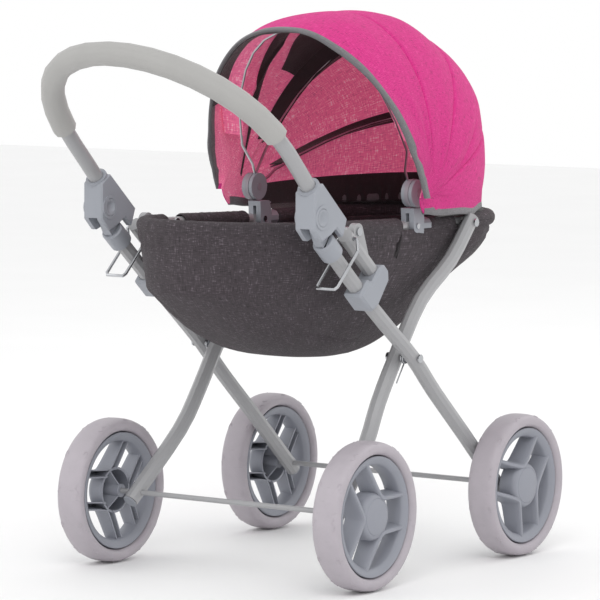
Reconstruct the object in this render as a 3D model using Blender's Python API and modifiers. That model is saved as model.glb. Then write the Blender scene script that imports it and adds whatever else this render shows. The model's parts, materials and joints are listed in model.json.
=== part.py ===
"""Doll stroller: a folding scissor frame with four spoked wheels, a bassinet and a hood.

Metres, +Z up. +X is the pusher's right, +Y the way the stroller rolls, the floor is Z = 0.
Each side of the frame is modelled on the right, at +X, and mirrored for the left.
"""

import math

import bmesh
import bpy
from mathutils import Matrix, Vector

MM = 0.001
COLLECTION = "doll_stroller"
CUTTERS = "cutters"

# ---- driving dimensions -------------------------------------------------------------

GAP = 0.3 * MM                  # play left between two pieces that touch
PIN_PLAY = 0.35 * MM            # radial play of a pin or rod in its hole

# Wheels
WHEEL_RADIUS = 75 * MM
TYRE_DEPTH = 14 * MM            # rubber from tread to rim
TYRE_WIDTH = 31 * MM
RIM_DEPTH = 9 * MM              # radial thickness of the plastic rim
RIM_WIDTH = 25 * MM
HUB_RADIUS = 24 * MM            # drum that the cap closes
HUB_WALL = 2.5 * MM
HUB_CUP_DEPTH = 15 * MM         # drum, from its outer face inwards
HUB_LENGTH = 19 * MM            # twice the drum face's distance from the middle plane
AXLE_TUBE_RADIUS = 7 * MM
AXLE_TUBE_BACK = 13.5 * MM      # from the middle plane inwards, to near the leg
HUB_CAP_DEPTH = 4.6 * MM
SPOKE_PAIRS = 3
SPOKE_PAIR_SPACING = 35 * MM    # centre to centre of the two blades of a pair
SPOKE_BLADE = 3 * MM
SPOKE_BACK = 7 * MM             # from the wheel's middle plane inwards
SPOKE_FRONT_AT_RIM = 10 * MM    # from the middle plane outwards
SPOKE_FRONT_AT_HUB = 12.5 * MM
HALF_TRACK = 159 * MM           # middle plane of each wheel
HALF_WHEELBASE = 143.5 * MM
AXLE_RADIUS = 2.75 * MM
REAR_LEFT_PHASE = 54
REAR_RIGHT_PHASE = 0
FRONT_LEFT_PHASE = 54
FRONT_RIGHT_PHASE = 45

# Frame tubes
TUBE_RADIUS = 8 * MM
SIDE_X = 131 * MM               # plane of the handle, its joint and the struts
FRONT_LEG_X = 134 * MM
REAR_LEG_X = 113 * MM
REAR_LEG_FLARE = 13 * MM        # how far the rear leg leans out by its axle
AXLE_END = 12 * MM              # tube past the axle
PLUG_DEPTH = 7 * MM
PLUG_WALL = 1.6 * MM

# Scissor pivot and its spring
PIVOT_Y = -20 * MM
PIVOT_Z = 221 * MM
BOLT_RADIUS = 2.2 * MM
BOLT_HEAD_RADIUS = 4.4 * MM
BOLT_HEAD = 1.6 * MM
SPRING_WIRE = 0.8 * MM
SPRING_TURNS = 2
SPRING_ARM = 27 * MM

# Bassinet rim: two U tubes hinged together at the sides
RIM_TUBE_RADIUS = 5.5 * MM
RIM_HALF_WIDTH = 97 * MM
RIM_HEIGHT = 352 * MM
RIM_REAR = -233 * MM
RIM_FRONT = 250 * MM
RIM_REAR_RISE = 7 * MM
HINGE_Y = 32 * MM
TONGUE_THICKNESS = 3.4 * MM
TONGUE_HEIGHT = 9 * MM
HINGE_SETBACK = 15.5 * MM       # bare length between the hinge pin and each tube end
HINGE_PIN_RADIUS = 1.6 * MM
STRUT_BOLT_Y = -122 * MM
LEG_BOLT_Y = 119 * MM

# Handle joint
JOINT_Y = -198 * MM
JOINT_Z = 374 * MM
JOINT_HALF_WIDTH = 12 * MM
KNUCKLE_RADIUS = 11.8 * MM
KNUCKLE_HALF_WIDTH = 5.2 * MM
BUTTON_RADIUS = 8.8 * MM
BUTTON_DISH = 2.6 * MM
BEZEL_RADIUS = 12.2 * MM
BEZEL_HEIGHT = 1 * MM

# Handle
HANDLE_FOOT_Y = -202.5 * MM
HANDLE_FOOT_Z = 401.5 * MM
HANDLE_REACH = 204 * MM         # from the joint collar to the top bar, along the slope
HANDLE_SLOPE = 40.7
HANDLE_ARM = 55 * MM            # straight part before the bend begins
HANDLE_BOW = 5 * MM
GRIP_RADIUS = 12.2 * MM
GRIP_START = 78 * MM

# Brackets, struts and wire bails
BRACKET_HALF_WIDTH = 11.5 * MM
BRACKET_START = 70 * MM         # along the front leg, from its top end
BRACKET_END = 103 * MM
STRUT_TOP = 22 * MM
STRUT_OFFSET = 28 * MM          # strut axis above the leg axis
STRUT_EYE_RADIUS = 8.5 * MM
STRUT_EYE_HALF_WIDTH = 3.5 * MM
BAIL_WIRE = 1.75 * MM
BAIL_SPREAD = 12 * MM
BAIL_PIVOT_Y = -137 * MM

# Hood
HOOD_PIVOT_Y = 30 * MM
HOOD_PIVOT_Z = 386 * MM
HOOD_HALF_WIDTH = 123 * MM
HOOD_OPEN_ANGLE = 113
HOOD_FAN_Y = 5 * MM             # the cloth's arches fan out from a line behind the hubs
HOOD_FAN_Z = 383 * MM
HOOD_REACH = ((-25, 205), (0, 231), (25, 250), (55, 214), (85, 188), (113, 184), (140, 182))
HOOD_CLOTH = 2.4 * MM
HOOD_SKIRT = 19 * MM
HOOD_ROUNDNESS = 2.2
HOOD_SPOTS = 20                 # spots along each arch of the hood
BOW_WIRE = 1.5 * MM
BOW_ANGLES = {"front": 112, "middle": 56, "rear": 20}
HUB_DISC_RADIUS = 15 * MM
HUB_X = 101 * MM
BOW_FLARE = 6 * MM              # the bows stand this much wider than the hubs
HUB_LAYER = 4.1 * MM
HUB_PIN_RADIUS = 4 * MM

# Bassinet bag
BAG_TOP = 342 * MM
BAG_BOTTOM = 217 * MM
BAG_HALF_WIDTH = 101.5 * MM
BAG_CLOTH = 3 * MM
BAG_ROUNDNESS = 2.7

ROUND = 10                      # sides of a bolt, a pin or a hole
DISC = 18                       # sides of a hub, a boss or a socket
WHEEL_SIDES = 36                # sides of a tyre or a wheel rim
TUBE_DETAIL = 3                 # curve bevel detail of the frame tubes

COLOURS = {
    "tube": (0.42, 0.43, 0.44, 0.45, 0.1),
    "joint": (0.38, 0.40, 0.43, 0.5, 0.0),
    "grip": (0.46, 0.45, 0.43, 0.85, 0.0),
    "tyre": (0.47, 0.44, 0.48, 0.7, 0.0),
    "wheel": (0.26, 0.28, 0.31, 0.5, 0.0),
    "steel": (0.62, 0.63, 0.65, 0.25, 1.0),
    "hood": (0.75, 0.04, 0.29, 0.9, 0.0),
    "bag": (0.09, 0.085, 0.09, 0.95, 0.0),
}


# ---- scene and materials --------------------------------------------------------------

def clear_scene():
    for item in list(bpy.data.objects):
        bpy.data.objects.remove(item, do_unlink=True)


def collection(name):
    made = bpy.data.collections.new(name)
    bpy.context.scene.collection.children.link(made)
    return made


def material_for(name, finish):
    red, green, blue, roughness, metallic = COLOURS[finish]
    made = bpy.data.materials.new(name)
    made.use_nodes = True
    shader = made.node_tree.nodes["Principled BSDF"]
    shader.inputs["Base Color"].default_value = (red, green, blue, 1)
    shader.inputs["Roughness"].default_value = roughness
    shader.inputs["Metallic"].default_value = metallic
    return made


clear_scene()
PARTS = collection(COLLECTION)
SHAPES = collection(CUTTERS)


def frame_shift():
    """How far the frame moves along Y so that its footprint is centred on the origin."""
    rear = HANDLE_FOOT_Y - HANDLE_REACH * math.cos(math.radians(HANDLE_SLOPE)) - GRIP_RADIUS
    front = max(RIM_FRONT + RIM_TUBE_RADIUS,
                HALF_WHEELBASE + WHEEL_RADIUS)
    return -(rear + front) / 2


ORIGIN = bpy.data.objects.new("frame_origin", None)
PARTS.objects.link(ORIGIN)
ORIGIN.location = (0, frame_shift(), 0)


# ---- modelling helpers ---------------------------------------------------------------

def shape(mesh):
    """A working object for a mesh; it is removed once its modifiers are evaluated."""
    made = bpy.data.objects.new("shape", mesh)
    SHAPES.objects.link(made)
    made.hide_render = True
    made.display_type = "WIRE"
    return made


def evaluated(item):
    bpy.context.view_layer.update()
    graph = bpy.context.evaluated_depsgraph_get()
    mesh = bpy.data.meshes.new_from_object(item.evaluated_get(graph))
    mesh.transform(item.matrix_world)
    bpy.data.objects.remove(item, do_unlink=True)
    work = bmesh.new()
    work.from_mesh(mesh)
    bmesh.ops.remove_doubles(work, verts=work.verts, dist=0.00001)
    large = [face for face in work.faces if len(face.verts) > 4]
    bmesh.ops.triangulate(work, faces=large)
    work.to_mesh(mesh)
    work.free()
    return mesh


def combine(base, others, operation):
    item = shape(base)
    tools = [shape(mesh) for mesh in others]
    for tool in tools:
        step = item.modifiers.new("combine", "BOOLEAN")
        step.operation = operation
        step.solver = "EXACT"
        step.object = tool
    mesh = evaluated(item)
    for tool in tools:
        bpy.data.objects.remove(tool, do_unlink=True)
    return mesh


def joined(base, *others):
    return combine(base, others, "UNION")


def cut(base, *others):
    return combine(base, others, "DIFFERENCE")


def rounded(mesh, width, segments=2, angle=40):
    item = shape(mesh)
    step = item.modifiers.new("edges", "BEVEL")
    step.width = width
    step.segments = segments
    step.limit_method = "ANGLE"
    step.angle_limit = math.radians(angle)
    return evaluated(item)


def mirrored(mesh):
    copy = mesh.copy()
    copy.transform(Matrix.Scale(-1, 4, (1, 0, 0)))
    copy.flip_normals()
    return copy


def bar(start, end, radius, sides=ROUND):
    """A round bar between two points."""
    start, end = Vector(start), Vector(end)
    axis = end - start
    work = bmesh.new()
    bmesh.ops.create_cone(work, cap_ends=True, segments=sides, radius1=radius,
                          radius2=radius, depth=axis.length)
    turn = Vector((0, 0, 1)).rotation_difference(axis.normalized()).to_matrix().to_4x4()
    bmesh.ops.transform(work, matrix=Matrix.Translation((start + end) / 2) @ turn,
                        verts=work.verts)
    mesh = bpy.data.meshes.new("bar")
    work.to_mesh(mesh)
    work.free()
    return mesh


def bar_x(y, z, radius, x_from, x_to, sides=ROUND):
    return bar((x_from, y, z), (x_to, y, z), radius, sides)


def box(low, high):
    low, high = Vector(low), Vector(high)
    work = bmesh.new()
    bmesh.ops.create_cube(work, size=1)
    size = high - low
    bmesh.ops.transform(work, verts=work.verts,
                        matrix=Matrix.Translation((low + high) / 2)
                        @ Matrix.Diagonal((size.x, size.y, size.z, 1)))
    mesh = bpy.data.meshes.new("box")
    work.to_mesh(mesh)
    work.free()
    return mesh


def plate(outline, x_from, x_to):
    """A flat outline in the Y-Z plane, extruded along X."""
    data = bpy.data.curves.new("plate", "CURVE")
    data.dimensions = "2D"
    data.fill_mode = "BOTH"
    data.extrude = abs(x_to - x_from) / 2
    spline = data.splines.new("POLY")
    spline.points.add(len(outline) - 1)
    for point, (y, z) in zip(spline.points, outline):
        point.co = (y, z, 0, 1)
    spline.use_cyclic_u = True
    item = bpy.data.objects.new("plate", data)
    SHAPES.objects.link(item)
    item.matrix_world = Matrix(((0, 0, 1, (x_from + x_to) / 2), (1, 0, 0, 0),
                                (0, 1, 0, 0), (0, 0, 0, 1)))
    return evaluated(item)


def tube(points, radius, detail=3):
    """A round tube along a line of points, with closed ends."""
    data = bpy.data.curves.new("tube", "CURVE")
    data.dimensions = "3D"
    data.bevel_depth = radius
    data.bevel_resolution = detail
    data.use_fill_caps = True
    spline = data.splines.new("POLY")
    spline.points.add(len(points) - 1)
    for point, place in zip(spline.points, points):
        point.co = (*place, 1)
    item = bpy.data.objects.new("tube", data)
    SHAPES.objects.link(item)
    return evaluated(item)


def socket(path, radius):
    """A cutter that leaves play all round the first stretch of a tube, and past its end."""
    first = Vector(path[0])
    before = first + (first - Vector(path[1])).normalized() * GAP
    return tube([before] + [Vector(spot) for spot in path], radius + GAP, TUBE_DETAIL)


def turned(profile, sides, x_mid=0.0, y=0.0, z=0.0):
    """A profile of (radius, x) points, turned about an axis along X through (y, z)."""
    mesh = bpy.data.meshes.new("turned")
    spots = [(radius, 0, along) for radius, along in profile]
    closed = profile[0] == profile[-1]
    if closed:
        spots = spots[:-1]
    count = len(spots)
    edges = [(i, (i + 1) % count) for i in range(count if closed else count - 1)]
    mesh.from_pydata(spots, edges, [])
    item = shape(mesh)
    step = item.modifiers.new("turn", "SCREW")
    step.axis = "Z"
    step.steps = sides
    step.render_steps = sides
    step.use_merge_vertices = True
    step.merge_threshold = 0.00001
    item.matrix_world = Matrix(((0, 0, 1, x_mid), (1, 0, 0, y), (0, 1, 0, z), (0, 0, 0, 1)))
    return outward(evaluated(item))


def outward(mesh):
    work = bmesh.new()
    work.from_mesh(mesh)
    bmesh.ops.recalc_face_normals(work, faces=work.faces)
    work.to_mesh(mesh)
    work.free()
    return mesh


def smooth_path(points, steps):
    """A smooth line through the given points, with a few spots between each two."""
    spots = [Vector(point) for point in points]
    padded = [2 * spots[0] - spots[1], *spots, 2 * spots[-1] - spots[-2]]
    path = []
    for a, b, c, d in zip(padded, padded[1:], padded[2:], padded[3:]):
        for step in range(steps):
            t = step / steps
            path.append(0.5 * (2 * b + (c - a) * t + (2 * a - 5 * b + 4 * c - d) * t * t
                               + (3 * b - a - 3 * c + d) * t ** 3))
    path.append(spots[-1])
    return path


def side_power(value, roundness):
    return math.copysign(abs(value) ** (2 / roundness), value)


def add(name, mesh, finish, pivot=(0, 0, 0)):
    """One finished piece; its origin is put on the pivot it turns about."""
    pivot = Vector(pivot)
    mesh.transform(Matrix.Translation(-pivot))
    mesh.name = name
    item = bpy.data.objects.new(name, mesh)
    PARTS.objects.link(item)
    item.parent = ORIGIN
    item.location = pivot
    if not mesh.materials:
        mesh.materials.append(material_for(name, finish))
    mesh.shade_smooth()
    mesh.set_sharp_from_angle(angle=math.radians(35))
    return item


def add_pair(name, mesh, finish, pivot=(0, 0, 0)):
    """The same piece on both sides."""
    x, y, z = pivot
    add(name + "_left", mirrored(mesh), finish, (-x, y, z))
    add(name + "_right", mesh, finish, (x, y, z))


# ---- frame lines ------------------------------------------------------------------------

PIVOT = (PIVOT_Y, PIVOT_Z)
AXLE_Z = WHEEL_RADIUS
HINGE = (HINGE_Y, RIM_HEIGHT)
HOOD_PIVOT = (HOOD_PIVOT_Y, HOOD_PIVOT_Z)
JOINT = (JOINT_Y, JOINT_Z)


def rim_z(y):
    """Height of the rim tube: level in front of the hinge, rising slightly behind it."""
    if y >= HINGE_Y:
        return RIM_HEIGHT
    return RIM_HEIGHT + RIM_REAR_RISE * (HINGE_Y - y) / (HINGE_Y - RIM_REAR)


def front_leg_line():
    """From the handle joint down through the pivot to the front axle."""
    end = Vector((HALF_WHEELBASE, AXLE_Z))
    pivot = Vector(PIVOT)
    top = Vector((JOINT_Y + 22.5 * MM, JOINT_Z - 28 * MM))
    upper = top.lerp(pivot, 0.38) + Vector((0, -2 * MM))
    mid = top.lerp(pivot, 0.7) + Vector((0, -1 * MM))
    knee = pivot.lerp(end, 0.24) + Vector((0, -2 * MM))
    low = pivot.lerp(end, 0.62)
    rows = [(SIDE_X, top), (SIDE_X, upper), (SIDE_X + 1 * MM, mid), (FRONT_LEG_X, pivot),
            (FRONT_LEG_X, knee), (FRONT_LEG_X, low), (FRONT_LEG_X, end)]
    return [(x, spot.x, spot.y) for x, spot in rows]


def rear_leg_line():
    """From the front of the rim down through the pivot, leaning out to the rear axle."""
    end = Vector((-HALF_WHEELBASE, AXLE_Z))
    pivot = Vector(PIVOT)
    bolt = Vector((LEG_BOLT_Y, RIM_HEIGHT))
    top = bolt + Vector((5 * MM, 4.8 * MM))
    upper = bolt.lerp(pivot, 0.34) + Vector((10 * MM, 6 * MM))
    shoulder = bolt.lerp(pivot, 0.68) + Vector((0.6 * MM, 13 * MM))
    knee = pivot.lerp(end, 0.34) + Vector((10 * MM, 5 * MM))
    low = pivot.lerp(end, 0.58) + Vector((10 * MM, -2 * MM))
    flare = REAR_LEG_X + REAR_LEG_FLARE
    rows = [(REAR_LEG_X, top), (REAR_LEG_X, upper), (REAR_LEG_X, shoulder),
            (REAR_LEG_X, pivot), (REAR_LEG_X, knee), (REAR_LEG_X + 0.3 * REAR_LEG_FLARE, low),
            (flare, end)]
    return [(x, spot.x, spot.y) for x, spot in rows]


def leg_path(line):
    """The smooth line of a leg, run on straight past the axle to the tube's end."""
    path = smooth_path(line, 3)
    way = (path[-1] - path[-2]).normalized()
    return path + [path[-1] + way * AXLE_END]


def leg_direction():
    """Unit vector down the upper part of the front leg, in the Y-Z plane."""
    line = front_leg_line()
    return (Vector(line[1][1:]) - Vector(line[0][1:])).normalized()


def along_leg(distance, offset=0.0):
    """A point on the upper front leg: distance down it and offset up from its axis."""
    down = leg_direction()
    across = Vector((-down.y, down.x))
    top = Vector(front_leg_line()[0][1:])
    return top + down * distance + across * offset


# ---- wheels --------------------------------------------------------------------------------

def tyre_mesh():
    outer = WHEEL_RADIUS
    inner = WHEEL_RADIUS - TYRE_DEPTH
    half = TYRE_WIDTH / 2
    profile = [(inner, half * 0.80), (inner + TYRE_DEPTH * 0.45, half),
               (outer - TYRE_DEPTH * 0.14, half * 0.82), (outer, half * 0.46),
               (outer, -half * 0.46), (outer - TYRE_DEPTH * 0.14, -half * 0.82),
               (inner + TYRE_DEPTH * 0.45, -half), (inner, -half * 0.80)]
    return turned(profile + profile[:1], WHEEL_SIDES)


def spoke_mesh(angle):
    """A pair of parallel blades from the drum to the rim, deepest at the drum."""
    reach = WHEEL_RADIUS - TYRE_DEPTH - RIM_DEPTH / 2
    lateral = (SPOKE_PAIR_SPACING - SPOKE_BLADE) / 2
    clear_of_cap = math.sqrt((HUB_RADIUS + 1.2 * MM) ** 2 - lateral ** 2)
    foot = HUB_RADIUS * 0.6
    blades = []
    for side in (-1, 1):
        middle = side * SPOKE_PAIR_SPACING / 2
        mesh = box((-SPOKE_BACK, foot, middle - SPOKE_BLADE / 2),
                   (SPOKE_FRONT_AT_HUB, reach, middle + SPOKE_BLADE / 2))
        for vertex in mesh.vertices:
            if vertex.co.x > 0 and vertex.co.y > HUB_RADIUS:
                vertex.co.x = SPOKE_FRONT_AT_RIM
            elif vertex.co.x > 0:
                vertex.co.y = clear_of_cap
        mesh.transform(Matrix.Rotation(math.radians(angle), 4, "X"))
        blades.append(mesh)
    return blades


def wheel_mesh():
    outer = WHEEL_RADIUS - TYRE_DEPTH - GAP
    inner = outer - RIM_DEPTH
    half = RIM_WIDTH / 2
    profile = [(inner, half * 0.7), (outer, half), (outer, -half), (inner, -half * 0.7)]
    band = turned(profile + profile[:1], WHEEL_SIDES)
    face = HUB_LENGTH / 2
    drum = bar_x(0, 0, HUB_RADIUS, face - HUB_CUP_DEPTH, face, WHEEL_SIDES)
    blades = []
    for index in range(SPOKE_PAIRS):
        blades.extend(spoke_mesh(index * 360 / SPOKE_PAIRS))
    hollow = bar_x(0, 0, HUB_RADIUS - HUB_WALL, -RIM_WIDTH, face - HUB_WALL, WHEEL_SIDES)
    body = cut(joined(drum, *blades, band), hollow)
    body = joined(body, bar_x(0, 0, AXLE_TUBE_RADIUS, -AXLE_TUBE_BACK,
                               face - HUB_WALL / 2, DISC))
    bore = bar_x(0, 0, AXLE_RADIUS + PIN_PLAY, -RIM_WIDTH, RIM_WIDTH)
    return cut(body, bore)


def hub_cap_mesh():
    """A shallow domed cap with a pocket for the axle's end; its back sits on the hub."""
    back = HUB_LENGTH / 2 + GAP
    front = back + HUB_CAP_DEPTH
    radius = HUB_RADIUS
    pocket = AXLE_RADIUS + 2 * PIN_PLAY
    profile = [(0, front), (radius * 0.77, front), (radius * 0.8, front - 0.3 * MM),
               (radius * 0.9, front - 1.4 * MM), (radius * 0.97, front - 2.8 * MM),
               (radius, front - 4.2 * MM), (radius, back),
               (pocket, back), (pocket, back + HUB_CAP_DEPTH * 0.6),
               (0, back + HUB_CAP_DEPTH * 0.6)]
    return turned(profile, WHEEL_SIDES)


def build_wheels():
    tyre = tyre_mesh()
    wheel = wheel_mesh()
    cap = hub_cap_mesh()
    places = (("rear_left", -1, -1, REAR_LEFT_PHASE), ("rear_right", 1, -1, REAR_RIGHT_PHASE),
              ("front_left", -1, 1, FRONT_LEFT_PHASE), ("front_right", 1, 1, FRONT_RIGHT_PHASE))
    for name, side, end, phase in places:
        centre = Vector((side * HALF_TRACK, end * HALF_WHEELBASE, AXLE_Z))
        for piece, mesh, finish in (("tyre", tyre, "tyre"), ("wheel", wheel, "wheel"),
                                    ("hub_cap", cap, "wheel")):
            copy = mesh.copy() if side > 0 else mirrored(mesh)
            copy.transform(Matrix.Translation(centre)
                           @ Matrix.Rotation(math.radians(phase), 4, "X"))
            add(piece + "_" + name, copy, finish, centre)


def build_axles():
    reach = HALF_TRACK + HUB_LENGTH / 2 + HUB_CAP_DEPTH * 0.35
    for name, y in (("rear_axle", -HALF_WHEELBASE), ("front_axle", HALF_WHEELBASE)):
        rod = bar_x(y, AXLE_Z, AXLE_RADIUS, -reach, reach)
        add(name, rod, "steel", (0, y, AXLE_Z))


# ---- legs ------------------------------------------------------------------------------------

def leg_end(line):
    """The end of a leg and the way out of its tube."""
    path = leg_path(line)
    return path[-1], (path[-1] - path[-2]).normalized()


def plug_cutter(line):
    tip, way = leg_end(line)
    return bar(tip - way * PLUG_DEPTH, tip + way * PLUG_DEPTH, TUBE_RADIUS - PLUG_WALL)


def plug_mesh(line):
    tip, way = leg_end(line)
    stem = bar(tip - way * (PLUG_DEPTH - GAP), tip + way * 0.5 * MM,
               TUBE_RADIUS - PLUG_WALL - GAP)
    head = bar(tip + way * GAP, tip + way * 1.8 * MM, TUBE_RADIUS)
    return joined(stem, head)


def hole(y, z, radius):
    return bar_x(y, z, radius + PIN_PLAY, 0.05, 0.2)


def build_legs():
    front = front_leg_line()
    rear = rear_leg_line()
    bolt = (LEG_BOLT_Y, RIM_HEIGHT)
    front_tube = tube(leg_path(front), TUBE_RADIUS, TUBE_DETAIL)
    rear_tube = tube(leg_path(rear), TUBE_RADIUS, TUBE_DETAIL)
    front_tube = cut(front_tube, hole(*PIVOT, BOLT_RADIUS),
                     hole(HALF_WHEELBASE, AXLE_Z, AXLE_RADIUS), plug_cutter(front))
    rear_tube = cut(rear_tube, hole(*PIVOT, BOLT_RADIUS), hole(*bolt, BOLT_RADIUS),
                    hole(-HALF_WHEELBASE, AXLE_Z, AXLE_RADIUS), plug_cutter(rear))
    add_pair("front_leg", front_tube, "tube")
    add_pair("rear_leg", rear_tube, "tube", (0, *PIVOT))
    add_pair("leg_plug_front", plug_mesh(front), "joint")
    add_pair("leg_plug_rear", plug_mesh(rear), "joint", (0, *PIVOT))


def headed_bolt(y, z, x_inner, x_outer, shoulder=None, inner_head=True):
    """A bolt between two faces, with a head on the outer one and maybe on the inner one."""
    radius = BOLT_RADIUS
    start = x_inner - GAP - BOLT_HEAD if inner_head else x_inner
    pieces = [bar_x(y, z, radius, start, x_outer + GAP + BOLT_HEAD)]
    pieces.append(bar_x(y, z, BOLT_HEAD_RADIUS, x_outer + GAP, x_outer + GAP + BOLT_HEAD))
    if inner_head:
        pieces.append(bar_x(y, z, BOLT_HEAD_RADIUS, start, x_inner - GAP))
    if shoulder:
        pieces.append(bar_x(y, z, BOLT_HEAD_RADIUS, *shoulder))
    return joined(*pieces)


def build_pivot():
    """The scissor bolt, the spacer between the legs and the spring wound round it."""
    inner = REAR_LEG_X - TUBE_RADIUS
    outer = FRONT_LEG_X + TUBE_RADIUS
    low = REAR_LEG_X + TUBE_RADIUS + GAP
    high = FRONT_LEG_X - TUBE_RADIUS - GAP
    pivot = (0, *PIVOT)
    bolt = headed_bolt(*PIVOT, inner, outer)
    spacer = cut(bar_x(*PIVOT, BOLT_HEAD_RADIUS, low, high), hole(*PIVOT, BOLT_RADIUS))
    add_pair("frame_pivot_bolt", bolt, "steel", pivot)
    add_pair("pivot_spacer", spacer, "joint", pivot)
    add_pair("pivot_spring", tube(spring_line(low, high), SPRING_WIRE, 1), "steel", pivot)


def spring_line(low, high):
    """Two turns round the spacer, then a straight arm down the rear leg."""
    radius = BOLT_HEAD_RADIUS + SPRING_WIRE + 0.6 * MM
    middle = (low + high) / 2
    pitch = 2 * SPRING_WIRE + 0.25 * MM
    spots = []
    per_turn = 12
    count = SPRING_TURNS * per_turn
    for index in range(count + 1):
        angle = math.radians(-40) + 2 * math.pi * index / per_turn
        along = middle + pitch * (index / per_turn - SPRING_TURNS / 2)
        spots.append((along, PIVOT_Y + radius * math.cos(angle),
                      PIVOT_Z + radius * math.sin(angle)))
    x, y, z = spots[0]
    rear = Vector(rear_leg_line()[4][1:]) - Vector(PIVOT)
    way = rear.normalized()
    return [(x, y + way.x * SPRING_ARM, z + way.y * SPRING_ARM)] + spots


# ---- brackets, struts, bails ---------------------------------------------------------------

def strut_line():
    """The strut runs beside the front leg; its lower end is held by the bracket."""
    low = along_leg(BRACKET_END - 7 * MM, STRUT_OFFSET)
    high = along_leg(STRUT_TOP, STRUT_OFFSET)
    return low, high


def strut_eye():
    return Vector((STRUT_BOLT_Y, rim_z(STRUT_BOLT_Y)))


def bail_pivot():
    """On the strut's axis, just under its top end."""
    low, high = strut_line()
    share = (BAIL_PIVOT_Y - low.x) / (high.x - low.x)
    return low.lerp(high, share)


def circle_points(centre, radius, start, stop, count):
    return [(centre[0] + radius * math.cos(math.radians(start + (stop - start) * i / count)),
             centre[1] + radius * math.sin(math.radians(start + (stop - start) * i / count)))
            for i in range(count + 1)]


def build_struts():
    low, high = strut_line()
    body = tube([(SIDE_X, *low), (SIDE_X, *high)], TUBE_RADIUS, TUBE_DETAIL)
    eye = strut_eye()
    foot_low = along_leg(STRUT_TOP + 46 * MM, STRUT_OFFSET + 5 * MM)
    foot_high = along_leg(STRUT_TOP + 4 * MM, STRUT_OFFSET + 5 * MM)
    outline = circle_points(eye, STRUT_EYE_RADIUS, 30, 200, 10)
    outline = outline + [tuple(foot_high), tuple(foot_low)]
    lug = plate(outline, SIDE_X - STRUT_EYE_HALF_WIDTH, SIDE_X + STRUT_EYE_HALF_WIDTH)
    body = joined(body, lug)
    body = cut(body, hole(*eye, BOLT_RADIUS), hole(*bail_pivot(), BAIL_WIRE))
    add_pair("support_strut", body, "tube")
    rim_inner = RIM_HALF_WIDTH - RIM_TUBE_RADIUS
    shoulder = (RIM_HALF_WIDTH + RIM_TUBE_RADIUS + GAP, SIDE_X - STRUT_EYE_HALF_WIDTH - GAP)
    bolt = headed_bolt(*eye, rim_inner, SIDE_X + STRUT_EYE_HALF_WIDTH, shoulder)
    add_pair("strut_bolt", bolt, "steel")


def build_brackets():
    """A moulded clamp round the leg whose upper arm grips the foot of the strut."""
    wall = BRACKET_HALF_WIDTH
    top = STRUT_OFFSET + wall
    steps = [(BRACKET_START, -wall), (BRACKET_END - 5 * MM, -wall), (BRACKET_END, 0),
             (BRACKET_END - 1 * MM, top - 7 * MM), (BRACKET_END - 8 * MM, top),
             (BRACKET_END - 19 * MM, top), (BRACKET_END - 23 * MM, top - 10 * MM),
             (BRACKET_END - 24 * MM, wall), (BRACKET_START + 1 * MM, wall)]
    body = plate([tuple(along_leg(*step)) for step in steps], SIDE_X - BRACKET_HALF_WIDTH,
                 SIDE_X + BRACKET_HALF_WIDTH)
    body = rounded(body, 2.6 * MM, 1)
    leg = socket(leg_path(front_leg_line())[:10], TUBE_RADIUS)
    low, high = strut_line()
    strut = socket([(SIDE_X, *low), (SIDE_X, *high)], TUBE_RADIUS)
    add_pair("strut_bracket", cut(body, leg, strut), "joint")


def bail_line():
    pivot = bail_pivot()
    elbow = pivot + Vector((1.5 * MM, -12 * MM))
    heel = pivot + Vector((-37 * MM, -48 * MM))
    inner = SIDE_X - BAIL_SPREAD
    outer = SIDE_X + BAIL_SPREAD
    tip = 6.2 * MM
    half = [(inner + tip, *pivot), (inner + 1.2 * MM, *pivot),
            (inner, *(pivot + Vector((0, -1.6 * MM)))),
            (inner, *elbow), (inner, *elbow.lerp(heel, 0.94)),
            (inner + 2 * MM, *heel)]
    other = [(inner + outer - x, y, z) for x, y, z in reversed(half)]
    return half + other


def build_bails():
    pivot = (SIDE_X, *bail_pivot())
    add_pair("latch_bail", tube(bail_line(), BAIL_WIRE, 2), "steel", pivot)


# ---- handle and its joints ----------------------------------------------------------------

def yoke_outline():
    """Side view of the upper joint piece, round the pivot and up to the tube collar."""
    y, z = JOINT
    steps = [(-13.5, 25), (1, 34.5), (44, -3), (37, -21.5), (25.5, -12), (16, -18),
             (-1, -24), (-13.5, -12)]
    return [(y + a * MM, z + b * MM) for a, b in steps]


def handle_foot():
    return Vector((HANDLE_FOOT_Y, HANDLE_FOOT_Z))


def handle_line(steps=9):
    """Half of the handle, from the joint to the middle of the top bar."""
    slope = math.radians(HANDLE_SLOPE)
    way = Vector((-math.cos(slope), math.sin(slope)))
    across = Vector((math.sin(slope), math.cos(slope)))
    bend = HANDLE_REACH - HANDLE_ARM
    rows = [(SIDE_X, 0.0), (SIDE_X, HANDLE_ARM * 0.5)]
    for index in range(steps + 1):
        angle = math.radians(90) * index / steps
        rows.append((SIDE_X * math.cos(angle), HANDLE_ARM + bend * math.sin(angle)))
    line = []
    for x, distance in rows:
        bow = HANDLE_BOW * math.sin(math.pi * distance / HANDLE_REACH)
        spot = handle_foot() + way * distance + across * bow
        line.append((x, spot.x, spot.y))
    return line


def both_sides(line):
    return line + [(-x, y, z) for x, y, z in reversed(line[:-1])]


def handle_part(start):
    """The handle's line beyond a distance from its foot, with a point right there."""
    line = [Vector(spot) for spot in handle_line()]
    left = start
    for index in range(len(line) - 1):
        length = (line[index + 1] - line[index]).length
        if length > left:
            cutoff = line[index].lerp(line[index + 1], left / length)
            return [tuple(cutoff)] + [tuple(spot) for spot in line[index + 1:]]
        left -= length
    return []


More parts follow.
